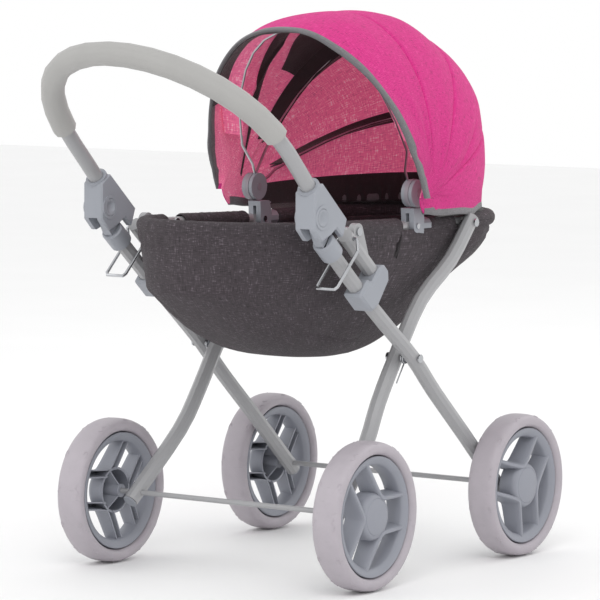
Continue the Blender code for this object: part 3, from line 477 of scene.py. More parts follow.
def carry_over(node, material, angle=32, edge=0.0):
    """Gives a frame node its material and smooth shading across its welded facets."""
    item = frame["nodes"][node]
    mesh = item.data
    wear(item, material)
    corners = {}
    for face in mesh.polygons:
        for a, b in face.edge_keys:
            ends = [tuple(round(value, 6) for value in mesh.vertices[i].co) for i in (a, b)]
            corners.setdefault(tuple(sorted(ends)), []).append((face.normal.copy(), (a, b)))
    index = {edge.key: edge.index for edge in mesh.edges}
    crisp = [False] * len(mesh.edges)
    limit = math.cos(math.radians(angle))
    for sides in corners.values():
        if len(sides) != 2 or sides[0][0].dot(sides[1][0]) < limit:
            for _, key in sides:
                crisp[index[tuple(sorted(key))]] = True
    layer = mesh.attributes.get("sharp_edge") or mesh.attributes.new(
        "sharp_edge", "BOOLEAN", "EDGE")
    layer.data.foreach_set("value", crisp)
    mesh.polygons.foreach_set("use_smooth", [True] * len(mesh.polygons))
    step = item.modifiers.new("weld", "WELD")
    step.merge_threshold = 0.000005
    if edge:
        step = item.modifiers.new("edge", "BEVEL")
        step.width = edge
        step.segments = 2
        step.limit_method = "ANGLE"
        step.angle_limit = math.radians(38)
        step.use_clamp_overlap = True
    return item


# ---- what a user may change -------------------------------------------------------------------

def colour_setting(name, default, words):
    return bpy.props.FloatVectorProperty(name=name, description=words, default=default,
                                         subtype="COLOR", min=0, max=1)


class PramColours(bpy.types.PropertyGroup):
    """Colours of the pram's finishes."""
    hood: colour_setting("Hood", (0.64, 0.022, 0.225), "Outside of the hood")
    # Painted light: the inside colour is brighter than the cloth's own, standing in for light coming
    # through the hood.
    hood_inside: colour_setting("Hood inside", (0.72, 0.13, 0.27), "Inside of the hood")
    bag: colour_setting("Bag", (0.046, 0.036, 0.042), "Melange cloth of the bassinet")
    lining: colour_setting("Lining", (0.022, 0.016, 0.018), "Dark lining and hood channels")
    binding: colour_setting("Binding", (0.13, 0.125, 0.135), "Tape round the hood's edges")
    tube: colour_setting("Tube", (0.33, 0.33, 0.34), "Painted frame tube")
    joint: colour_setting("Joint", (0.30, 0.315, 0.35), "Moulded joints and clips")
    hub: colour_setting("Hood hub", (0.30, 0.275, 0.31), "Moulded hood hubs")
    grip: colour_setting("Grip", (0.37, 0.365, 0.355), "Foam of the push handle")
    tyre: colour_setting("Tyre", (0.42, 0.385, 0.42), "Soft tyre")
    wheel: colour_setting("Wheel", (0.27, 0.28, 0.32), "Moulded wheel")
    plate: colour_setting("Plate", (0.50, 0.51, 0.53), "Plated screws and wire")


class PramSizes(bpy.types.PropertyGroup):
    """Sizes of the sewn and trimmed details."""
    cloth: bpy.props.FloatProperty(name="Hood cloth", description="Thickness of the hood cloth",
                                   default=1.4 * MM, min=0.0005, max=0.004, unit="LENGTH")
    sag: bpy.props.FloatProperty(name="Hood sag", description="Swell of the cloth between seams",
                                 default=2.5 * MM, min=0, max=0.02, unit="LENGTH")
    tape: bpy.props.FloatProperty(name="Binding width", description="Width of the edge tape",
                                  default=8.0 * MM, min=0.003, max=0.02, unit="LENGTH")
    sleeve: bpy.props.FloatProperty(name="Sleeve radius", description="Cloth round the rim tubes",
                                    default=7.6 * MM, min=0.006, max=0.01, unit="LENGTH")
    folds: bpy.props.FloatProperty(name="Bag folds", description="Depth of the bag's creases",
                                   default=2.6 * MM, min=0, max=0.008, unit="LENGTH")
    screw: bpy.props.FloatProperty(name="Screw head", description="Radius of a screw head",
                                   default=3.6 * MM, min=0.002, max=0.006, unit="LENGTH")


def colours():
    return bpy.context.scene.pram_colours


def sizes():
    return bpy.context.scene.pram_sizes


FINISHES = {}


def finish_named(name):
    if name in FINISHES:
        return FINISHES[name]
    c = colours()
    if name == "tube":
        made = painted("satin_tube_paint", tuple(c.tube))
    elif name == "joint":
        made = moulded("joint_plastic", tuple(c.joint), 0.42)
    elif name == "hub":
        made = moulded("hub_plastic", tuple(c.hub), 0.4)
    elif name == "wheel":
        made = moulded("wheel_plastic", tuple(c.wheel), 0.45)
    elif name == "grip":
        made = foam("grip_foam", tuple(c.grip))
    elif name == "tyre":
        made = tread("tyre_foam_rubber", tuple(c.tyre))
    elif name == "steel":
        made = plated("bright_plate", tuple(c.plate))
    elif name == "bow":
        made = bow_wire("bow_wire", tuple(c.plate), tuple(c.joint))
    elif name == "hood":
        base = tuple(c.hood)
        made = woven("hood_cloth", shade(base, 0.55), base, (0.78, 0.07, 0.32), sheen=0.03)
    # Painted light: the inside cloth is brightened and glows, standing in for light shining through
    # the hood from behind.
    elif name == "hood_inside":
        base = tuple(c.hood_inside)
        made = woven("hood_cloth_inside_painted_backlight", shade(base, 0.7), base, (1.0, 0.55, 0.62), painted_backlight_glow=0.34)
    elif name == "bag":
        base = tuple(c.bag)
        made = woven("bassinet_melange", shade(base, 0.4), base, (0.15, 0.125, 0.145), sheen=0.04)
    elif name == "lining":
        base = tuple(c.lining)
        made = woven("lining_cloth", shade(base, 0.6), base, shade(base, 1.9), 0.75, 0.8, 0.8)
    elif name == "binding":
        base = tuple(c.binding)
        made = woven("edge_tape", shade(base, 0.65), base, shade(base, 1.6), 0.7, 0.7, 0.9)
    else:
        raise RuntimeError("no finish is called " + name)
    FINISHES[name] = made
    return made


# ---- hood surface -------------------------------------------------------------------------------

def power(value, roundness):
    return math.copysign(abs(value) ** (2 / roundness), value)


def ease(value):
    value = min(max(value, 0.0), 1.0)
    return value * value * (3 - 2 * value)


HOOD_HALF = 125
HOOD_OPEN = 113
HOOD_SKIRT = 19
HOOD_REACH = ((-25, 205), (0, 231), (25, 250), (55, 214), (85, 188), (113, 186), (140, 184))
FAN = Vector((0, HUB.y - 25 * MM, HUB.z - 3 * MM))
FRONT_BOW, MIDDLE_BOW, REAR_BOW, SEAM = 112, 56, 20, 86
SEAMS = ((87, 3.0), (53, 2.6), (20, 2.2))


def hood_reach(angle):
    """Reach of the cloth from its fan line, in millimetres, by angle above the front."""
    spot = 1
    while spot < len(HOOD_REACH) - 3 and angle > HOOD_REACH[spot + 1][0]:
        spot += 1
    before, low, high, after = HOOD_REACH[spot - 1:spot + 3]
    span = high[0] - low[0]
    share = (angle - low[0]) / span
    leave = (high[1] - before[1]) / (high[0] - before[0]) * span
    arrive = (after[1] - low[1]) / (after[0] - low[0]) * span
    cube, square = share ** 3, share ** 2
    return ((2 * cube - 3 * square + 1) * low[1] + (cube - 2 * square + share) * leave
            + (3 * square - 2 * cube) * high[1] + (cube - square) * arrive)


def dome_spot(angle, turn, lift=0.0):
    """A point on the even dome, lift millimetres above it."""
    reach = hood_reach(max(angle, -20))
    half = HOOD_HALF + 7 * ease((angle - 60) / 50) * ease(1.6 * abs(math.cos(turn)) - 0.6)
    across = (half + lift) * power(math.cos(turn), 2.2)
    along = (reach + lift) * power(math.sin(turn), 2.2)
    turned_to = math.radians(angle)
    return FAN + Vector((across, along * math.cos(turned_to), along * math.sin(turned_to))) * MM


def rim_nearest(spot):
    """The top of the front rim's sleeve nearest below a point of the hem."""
    x, y = spot.x / MM, (spot.y - SHIFT_Y) / MM
    if y > 153:
        away = Vector((x, y - 153)).normalized() * 97
        return at(away.x, 153 + away.y, 358)
    return at(math.copysign(97, x), y, 358)


def bow_spot(angle, turn, lift=0.0):
    """A point on a bow's wire, lift millimetres outside it."""
    top = dome_spot(fan_angle(angle, math.pi / 2), math.pi / 2)
    reach = (top - HUB).length / MM - 7.9 + lift
    across = (107 + lift) * power(math.cos(turn), 2.2)
    along = reach * power(math.sin(turn), 2.2)
    way = math.radians(angle)
    return HUB + Vector((across, along * math.cos(way), along * math.sin(way))) * MM


def hub_angle(spot):
    return math.degrees(math.atan2(spot.z - HUB.z, spot.y - HUB.y))


def fan_angle(wanted, turn):
    """The fan angle at which the dome crosses a plane through the hubs."""
    low, high = 0.0, HOOD_OPEN
    for _ in range(16):
        middle_angle = (low + high) / 2
        if hub_angle(dome_spot(middle_angle, turn)) < wanted:
            low = middle_angle
        else:
            high = middle_angle
    return low


def hood_ripple(angle, turn):
    """Height in millimetres of the cloth above the even dome: sag, seams and soft creases."""
    high = math.sin(turn)
    here = hub_angle(dome_spot(angle, turn))
    stops = (HOOD_OPEN + 2, SEAM, MIDDLE_BOW, REAR_BOW, -12)
    dip = 0
    for upper, lower in zip(stops, stops[1:]):
        if lower <= here <= upper:
            dip = math.sin(math.pi * (here - lower) / (upper - lower))
    swell = sizes().sag / MM * dip * high ** 0.8
    wander = 1.4 * noise.noise(Vector((turn * 2.1, 3.0, 6.0)))
    seam = sum(-depth * math.exp(-((here - where - wander) / 0.75) ** 2)
               for where, depth in SEAMS) * ease(high * 2.2)
    low_side = 1 - ease((high - 0.25) / 0.6)
    pleat = 3.2 * low_side * noise.noise(Vector((here * 0.10, high * 1.5, math.cos(turn))))
    drape = 2.4 * noise.noise(Vector((here * 0.035, turn * 1.7, 3.1)))
    crumple = 0.9 * noise.noise(Vector((here * 0.13, turn * 4.0, 9.7)))
    tuck = -2.2 * math.exp(-((here - 27 - 26 * (high - 0.5)) / 2.0) ** 2) * \
        math.exp(-((high - 0.55) / 0.22) ** 2) * ease(math.cos(turn) * 2)
    return swell + seam + tuck + (pleat + drape + crumple) * ease(high * 3)


def hood_spot(angle, turn, inset=0.0):
    """A point on the hood cloth, inset millimetres below its outer face."""
    spot = dome_spot(max(angle, 0), turn, hood_ripple(max(angle, 0), turn) - inset)
    if angle < 0:
        share = -angle / 10
        corner = math.exp(-(math.sin(turn) / 0.09) ** 2)
        spot.z -= (HOOD_SKIRT - 3 * corner) * share * MM
        spot.y += 9 * corner * share ** 2 * MM
        spot.x *= 1 - 0.012 * share
    return spot


def hood_hem_drop(turn):
    """How far the hem dips below its line, by place round the hood."""
    side = abs(math.cos(turn))
    tab = 4.0 * math.exp(-((side - 0.86) / 0.06) ** 2)
    return 1.5 * math.sin(turn * 9) * (1 - side) + tab


def dome_angle(v):
    """Grid rows: a tenth of them for the skirt, the rest up to the opening."""
    return -10 + 10 * v / 0.12 if v < 0.12 else HOOD_OPEN * (v - 0.12) / 0.88


def hood_turn(u, low=0.0):
    return math.radians(low) + (math.pi - 2 * math.radians(low)) * u


def follow_front_bow(piece):
    """Bakes the piece's transform into its mesh and works out a weight for each vertex from its angle
    about the hubs; the weight is not used.
    """
    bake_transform(piece)
    for vertex in piece.data.vertices:
        here = hub_angle(vertex.co)
        if here < -30:
            weight = ease((-here - 50) / 90)
        elif here < MIDDLE_BOW:
            weight = 0.36 * max(here - REAR_BOW, 0) / (MIDDLE_BOW - REAR_BOW)
        else:
            weight = 0.36 + 0.64 * (here - MIDDLE_BOW) / (FRONT_BOW - MIDDLE_BOW)


def tape_round(name, spots, inward, outward_way, thickness, width):
    """Binding folded over an edge. Each spot has a way into the cloth and a way outwards."""
    across = ((width, 0.5), (width * 0.55, 1.1), (1.0, 1.3), (-0.9, 0.4), (-0.9, -thickness + 0.2),
              (1.0, -thickness - 0.9), (width * 0.55, -thickness - 0.8), (width, -thickness - 0.3))
    count = len(spots) - 1

    def place(u, v):
        step = min(int(round(u * count)), count)
        low = v * (len(across) - 1)
        k = min(int(low), len(across) - 2)
        part = low - k
        a = across[k][0] + (across[k + 1][0] - across[k][0]) * part
        n = across[k][1] + (across[k + 1][1] - across[k][1]) * part
        return spots[step] + inward[step] * a * MM + outward_way[step] * n * MM

    length = sum((b - a).length for a, b in zip(spots, spots[1:]))
    piece = sheet_piece(name, count, 14, place, (length, 2 * width * MM))
    apply(piece, "SOLIDIFY", thickness=0.5 * MM, offset=0)
    merged(piece)
    smooth(piece, 60)
    return piece


class PRAM_OT_hood(bpy.types.Operator):
    """Outer hood cloth with its skirt, and the edge tape round the opening and the hem"""
    bl_idname = "pram.hood"
    bl_label = "Hood cloth"

    def execute(self, context):
        def place(u, v):
            angle = dome_angle(v)
            turn = hood_turn(u)
            spot = hood_spot(angle, turn)
            if angle < 0:
                spot.z -= hood_hem_drop(turn) * MM * -angle / 10
            return spot

        hood = sheet_piece("hood_shell", 140, 190, place, (0.52, 0.42))
        apply(hood, "SOLIDIFY", thickness=sizes().cloth, offset=0)
        inside_first(hood)
        merged(hood, 0.00004)
        # The inner faces take the inside cloth, whose brightness and glow are painted backlight.
        wear(hood, finish_named("hood"), finish_named("hood_inside"))
        paint_inner_faces(hood, Vector((0, FAN.y + 0.05, FAN.z + 0.04)))
        smooth(hood, 50)
        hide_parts("hood")
        follow_front_bow(hood)

        steps = 120
        turns = [math.pi * i / steps for i in range(steps + 1)]
        edge, inward, out = [], [], []
        for turn in turns:
            spot = hood_spot(HOOD_OPEN, turn)
            inner = hood_spot(HOOD_OPEN - 5, turn)
            edge.append(spot)
            way = (inner - spot)
            way = way.normalized() if way.length > 1e-4 else Vector((0, 1, 0))
            push = Vector((spot.x * 1.6, 0, 0)) + (spot - FAN)
            inward.append(way)
            out.append((push - way * push.dot(way)).normalized())
        opening = tape_round("hood_opening_tape", edge, inward, out, 1.4, sizes().tape / MM)
        wear(opening, finish_named("binding"))
        follow_front_bow(opening)

        edge, inward, out = [], [], []
        for turn in turns:
            spot = hood_spot(-10, turn)
            spot.z -= hood_hem_drop(turn) * MM
            edge.append(spot)
            inward.append(Vector((0, 0, 1)))
            out.append(Vector((power(math.cos(turn), 1.6), power(math.sin(turn), 1.6), 0))
                       .normalized())
        hem = tape_round("hood_hem_tape", edge, inward, out, 1.4, sizes().tape / MM)
        wear(hem, finish_named("binding"))
        follow_front_bow(hem)
        return {"FINISHED"}


def inside_first(piece):
    """Turns a closed shell's faces outwards before anything is painted by side."""
    editing(piece)
    bpy.ops.mesh.normals_make_consistent(inside=False)
    leave_edit()


def paint_inner_faces(piece, heart):
    """Faces that look towards the heart of the piece take its second material."""
    for face in piece.data.polygons:
        face.material_index = 1 if face.normal.dot(heart - face.center) > 0 else 0


class PRAM_OT_hood_lining(bpy.types.Operator):
    """Dark channels over the bows, the facing behind the opening and the patch between bows"""
    bl_idname = "pram.hood_lining"
    bl_label = "Hood channels and facings"

    def execute(self, context):
        # The front channel wears the inside cloth, whose brightness and glow are painted backlight.
        strips = [
            ("hood_channel_front", FRONT_BOW, FRONT_BOW, 4.0, True, "hood_inside"),
            ("hood_channel_middle", MIDDLE_BOW, MIDDLE_BOW, 5.5, True, "lining"),
            ("hood_channel_rear", REAR_BOW, REAR_BOW, 1.6, True, "lining"),
            ("hood_seam_tape", 72, 93, 3.2, False, "lining"),
        ]
        for name, low_angle, top_angle, half, wired, cloth in strips:
            def place(u, v):
                turn = math.radians(17 + 146 * u if wired else 6 + 168 * u)
                rise = math.sin(math.pi * u) ** 0.8
                wander = 1.2 * noise.noise(Vector((u * 7, top_angle, 2.0)))
                centre = low_angle + (top_angle - low_angle) * rise + wander * (not wired)
                here = fan_angle(centre, turn) + (2 * v - 1) * half * (0.6 + 0.4 * rise)
                spot = hood_spot(min(max(here, 0.5), HOOD_OPEN - 0.5), turn, 3.0)
                full = math.cos(math.pi * (v - 0.5))
                if wired:
                    return spot.lerp(bow_spot(centre, turn, -2.6), full ** 1.3)
                return spot + (HUB - spot).normalized() * 1.4 * full ** 0.8 * MM

            strip = sheet_piece(name, 140, 12, place, (0.5, 0.03))
            apply(strip, "SOLIDIFY", thickness=0.8 * MM, offset=0)
            merged(strip)
            wear(strip, finish_named(cloth))
            smooth(strip, 60)
            follow_front_bow(strip)

        def facing(u, v):
            turn = math.radians(30 + 120 * u)
            deep = fan_angle(FRONT_BOW - 5, turn)
            share = ease((abs(math.cos(turn)) - 0.1) / 0.45)
            inner = HOOD_OPEN - 3 + (deep - HOOD_OPEN + 3) * share
            return hood_spot(HOOD_OPEN - 0.6 + (inner - HOOD_OPEN + 0.6) * v, turn, 3.0 + 4 * v)

        def patch(u, v):
            turn = math.radians(76 + 62 * u)
            edge = 12 + 5 * math.sin(math.pi * u) + 1.5 * math.sin(u * 11)
            return hood_spot(fan_angle(60, turn) + edge * v, turn, 3.2)

        def valance(u, v):
            turn = math.radians(14 + 152 * u)
            top = hood_spot(3 - 13 * min(v / 0.55, 1), turn, 2.6)
            pucker = 1.2 * math.sin(u * 150 + 3 * noise.noise(Vector((u * 30, 0, 1))))
            if v > 0.55:
                tube = rim_nearest(top)
                top = top.lerp(tube, ease((v - 0.55) / 0.45))
            return top + Vector((0, -pucker * MM * math.sin(math.pi * v), 0))

        for name, place, size in (("hood_opening_facing", facing, (0.5, 0.04)),
                                  ("hood_shade_patch", patch, (0.2, 0.05)),
                                  ("hood_valance", valance, (0.5, 0.04))):
            part = sheet_piece(name, 110 if name != "hood_valance" else 220, 12, place, size)
            apply(part, "SOLIDIFY", thickness=0.7 * MM, offset=0)
            merged(part)
            wear(part, finish_named("lining"))
            smooth(part, 60)
            follow_front_bow(part)
        return {"FINISHED"}


# ---- bassinet bag --------------------------------------------------------------------------------

BAG_TOP = 349
BAG_BOTTOM = 217
FLOOR_MIDDLE = -11.5
CREASES = ((-0.33, 0.62, -0.29, 0.30, 1.0), (-0.30, 0.62, -0.36, 0.42, 0.8),
           (0.02, 0.90, 0.10, 0.55, 0.7), (-0.12, 0.30, 0.02, 0.12, 0.9),
           (0.16, 0.70, 0.12, 0.30, 1.0), (0.22, 0.80, 0.16, 0.40, 0.8),
           (-0.44, 0.85, -0.40, 0.45, 0.8), (-0.22, 0.85, -0.24, 0.55, 0.6),
           (0.30, 0.75, 0.26, 0.5, 0.8), (-0.05, 0.62, -0.10, 0.40, 0.7))


def rim_height(y):
    return 352 + 7 * max(0, 32 - y) / 265


def stadium_scale(x, y, half_width, half_length):
    """Stretch that brings a point on to a rounded-end outline."""
    straight = half_length - half_width
    if abs(x) > 1e-6:
        scale = half_width / abs(x)
        if abs(y) * scale <= straight:
            return scale
    a = x * x + y * y
    b = -2 * abs(y) * straight
    c = straight * straight - half_width * half_width
    return (-b + math.sqrt(max(b * b - 4 * a * c, 0))) / (2 * a)


def bag_spot(share, around, inner):
    """A point on the bag. share runs from the floor to the rim, around once round it."""
    height = BAG_BOTTOM + (BAG_TOP - BAG_BOTTOM) * share
    rear = -233 * (0.12 + 0.875 * min(1, share / 0.58) ** 0.42)
    front = 250 * (0.02 + 0.975 * share ** 0.62)
    half = 101.5 * (0.25 + 0.75 * min(1, share / 0.6) ** 0.40)
    centre = (rear + front) / 2
    length = (front - rear) / 2
    angle = math.tau * around
    x = half * power(math.cos(angle), 2.7)
    y = length * power(math.sin(angle), 2.7)
    grow = 90.2 / 97 if inner else 104.4 / 97
    top_half = 97 * grow
    top_length = (250 + 233 - 11) / 2 + (top_half - 97)
    scale = stadium_scale(x, y, top_half, top_length)
    ring = Vector((x * scale, y * scale + 3, 0))
    blend = ease((share - 0.55) / 0.42)
    spot = Vector((x, y + centre, 0)).lerp(ring, blend)
    if inner:
        shrink = 1 - 3.0 / max(half, 20) * (1 - blend)
        spot = Vector((spot.x * shrink, centre + (spot.y - centre) * (1 - 3.5 / length), 0))
        height += 3 * (1 - share)
    rise = (rim_height(spot.y) - 352) * ease((share - 0.5) / 0.5)
    return Vector((spot.x, spot.y, height + rise)), Vector((x / half, y / length, 0)).normalized()


def bag_folds(share, around, spot):
    """Depth of creases and puckers, in millimetres outwards."""
    depth = sizes().folds / MM
    total = 2.8 * noise.noise(Vector((around * 11, share * 2.2, 1.3)))
    total += 1.3 * noise.noise(spot * 0.028 + Vector((5, 1, 2)))
    total += 0.5 * noise.noise(spot * 0.075)
    pucker = math.sin(around * math.tau * 46 + 3 * noise.noise(Vector((around * 20, 0, 4))))
    total += 0.7 * pucker * ease((share - 0.78) / 0.16) * (1 - ease((share - 0.96) / 0.04))
    total += -1.5 * math.exp(-((share - 0.885) / 0.014) ** 2)
    here = Vector((around if around < 0.5 else around - 1, share))
    for a, b, c, d, strength in CREASES:
        first, last = Vector((a, b)), Vector((c, d))
        run = last - first
        t = min(max((here - first).dot(run) / run.length_squared, 0), 1)
        gap = here - (first + run * t)
        near = math.exp(-((gap.x / 0.011) ** 2 + (gap.y / 0.06) ** 2))
        total -= depth * strength * near * math.sin(math.pi * (0.12 + 0.76 * t))
    fade = ease(share / 0.12) * (1 - 0.85 * ease((share - 0.93) / 0.07))
    return total * fade


def follow_rims(piece):
    """Bakes the piece's transform into its mesh."""
    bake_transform(piece)


class PRAM_OT_bag(bpy.types.Operator):
    """Bassinet bag: outer melange wall, rolled top and dark lining, one closed sewn shell"""
    bl_idname = "pram.bag"
    bl_label = "Bassinet bag"

    def execute(self, context):
        def place(u, v):
            inner = v > 0.5
            run = (0.5 - abs(v - 0.5)) * 2
            share = (run - 0.14) / 0.86
            if share <= 0:
                closing = max(run / 0.14, 0.02)
                spot, way = bag_spot(0.0, u, inner)
                centre = FLOOR_MIDDLE
                spot = Vector((spot.x * closing, centre + (spot.y - centre) * closing, spot.z))
                spot.z += (1 - closing) * (0.5 if inner else -0.5)
                return at(*spot)
            share = share ** 1.15
            spot, way = bag_spot(share, u, inner)
            spot += way * bag_folds(share, u, spot) * (0.7 if inner else 1.0)
            return at(*spot)

        bag = sheet_piece("bassinet_cloth", 220, 96, place, (1.18, 0.36))
        count = 96
        for face in bag.data.polygons:
            face.material_index = 1 if (face.index // 220) >= count // 2 else 0
        editing(bag)
        bpy.ops.mesh.remove_doubles(threshold=0.00003)
        leave_edit()
        close_poles(bag)
        wear(bag, finish_named("bag"), finish_named("lining"))
        inside_first(bag)
        smooth(bag, 70)
        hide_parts("bassinet_bag")
        follow_rims(bag)
        return {"FINISHED"}


def close_poles(piece):
    """Fills the small rings left at the middle of the floor."""
    editing(piece, "DESELECT")
    bpy.ops.mesh.select_mode(type="EDGE")
    bpy.ops.mesh.select_non_manifold(extend=False, use_wire=False, use_boundary=True,
                                     use_multi_face=False, use_non_contiguous=False,
                                     use_verts=False)
    bpy.ops.mesh.fill_holes(sides=0)
    bpy.ops.mesh.select_mode(type="VERT")
    leave_edit()


def rim_spot(along, front):
    """A point on a rim's middle line: along 0 at the right hinge end to 1 at the left one."""
    end, sign, start_y = (250, 1, 59) if front else (-233, -1, 5)
    centre = end - sign * 97
    straight = abs(centre - start_y)
    arc = math.pi * 97
    total = 2 * straight + arc
    run = along * total
    if run < straight:
        x, y = 97, start_y + sign * run
    elif run < straight + arc:
        turn = (run - straight) / 97
        x, y = 97 * math.cos(turn), centre + sign * 97 * math.sin(turn)
    else:
        x, y = -97, centre - sign * (run - straight - arc)
    return Vector((x, y, rim_height(y)))


def rim_along(y, front):
    """Share of the rim's line, on the right side, at a place along the pram."""
    end, sign, start_y = (250, 1, 59) if front else (-233, -1, 5)
    centre = end - sign * 97
    total = 2 * abs(centre - start_y) + math.pi * 97
    return abs(y - start_y) / total


class PRAM_OT_sleeves(bpy.types.Operator):
    """Cloth sleeves round the rim tubes, with turned ends, open at the bolts and clips"""
    bl_idname = "pram.sleeves"
    bl_label = "Rim sleeves"

    def execute(self, context):
        gap = rim_along(-108, False), rim_along(-137, False)
        leg = rim_along(106, True), rim_along(132, True)
        runs = [("rear_side_right", False, 0.0, gap[0]), ("rear_round", False, gap[1], 1 - gap[1]),
                ("rear_side_left", False, 1 - gap[0], 1.0),
                ("front_side_right", True, 0.0, leg[0]), ("front_round", True, leg[1], 1 - leg[1]),
                ("front_side_left", True, 1 - leg[0], 1.0)]
        for name, front, low, high in runs:
            radius = sizes().sleeve / MM
            length = (high - low) * (700 if not front else 660)
            rows = max(12, int(length / 3.2))

            def place(u, v):
                along = low + (high - low) * v
                here, after = rim_spot(along, front), rim_spot(min(along + 0.002, 1), front)
                if (after - here).length < 1e-6:
                    here, after = rim_spot(along - 0.002, front), here
                way = (after - here).normalized()
                side = way.cross(Vector((0, 0, 1))).normalized()
                up = side.cross(way)
                turn = math.tau * u
                edge = min(v, 1 - v) * length
                size = radius + 0.45 * noise.noise(Vector((along * 90, math.cos(turn), 2)))
                size += 0.35 * noise.noise(Vector((along * 260, math.sin(turn) * 2, 8)))
                size += 0.7 * math.exp(-((edge - 5) / 1.6) ** 2) - 0.8 * math.exp(-(edge / 1.2) ** 2)
                base = rim_spot(along, front)
                return at(*(base + (side * math.cos(turn) + up * math.sin(turn)) * size))

            sleeve = sheet_piece("rim_sleeve_" + name, 24, rows, place, (0.048, length * MM))
            apply(sleeve, "SOLIDIFY", thickness=0.9 * MM, offset=-1)
            merged(sleeve)
            wear(sleeve, finish_named("bag"))
            smooth(sleeve, 60)
            placed(sleeve, "hood_base" if front else "basket", "bag")
        return {"FINISHED"}


# ---- wheels ------------------------------------------------------------------------------------

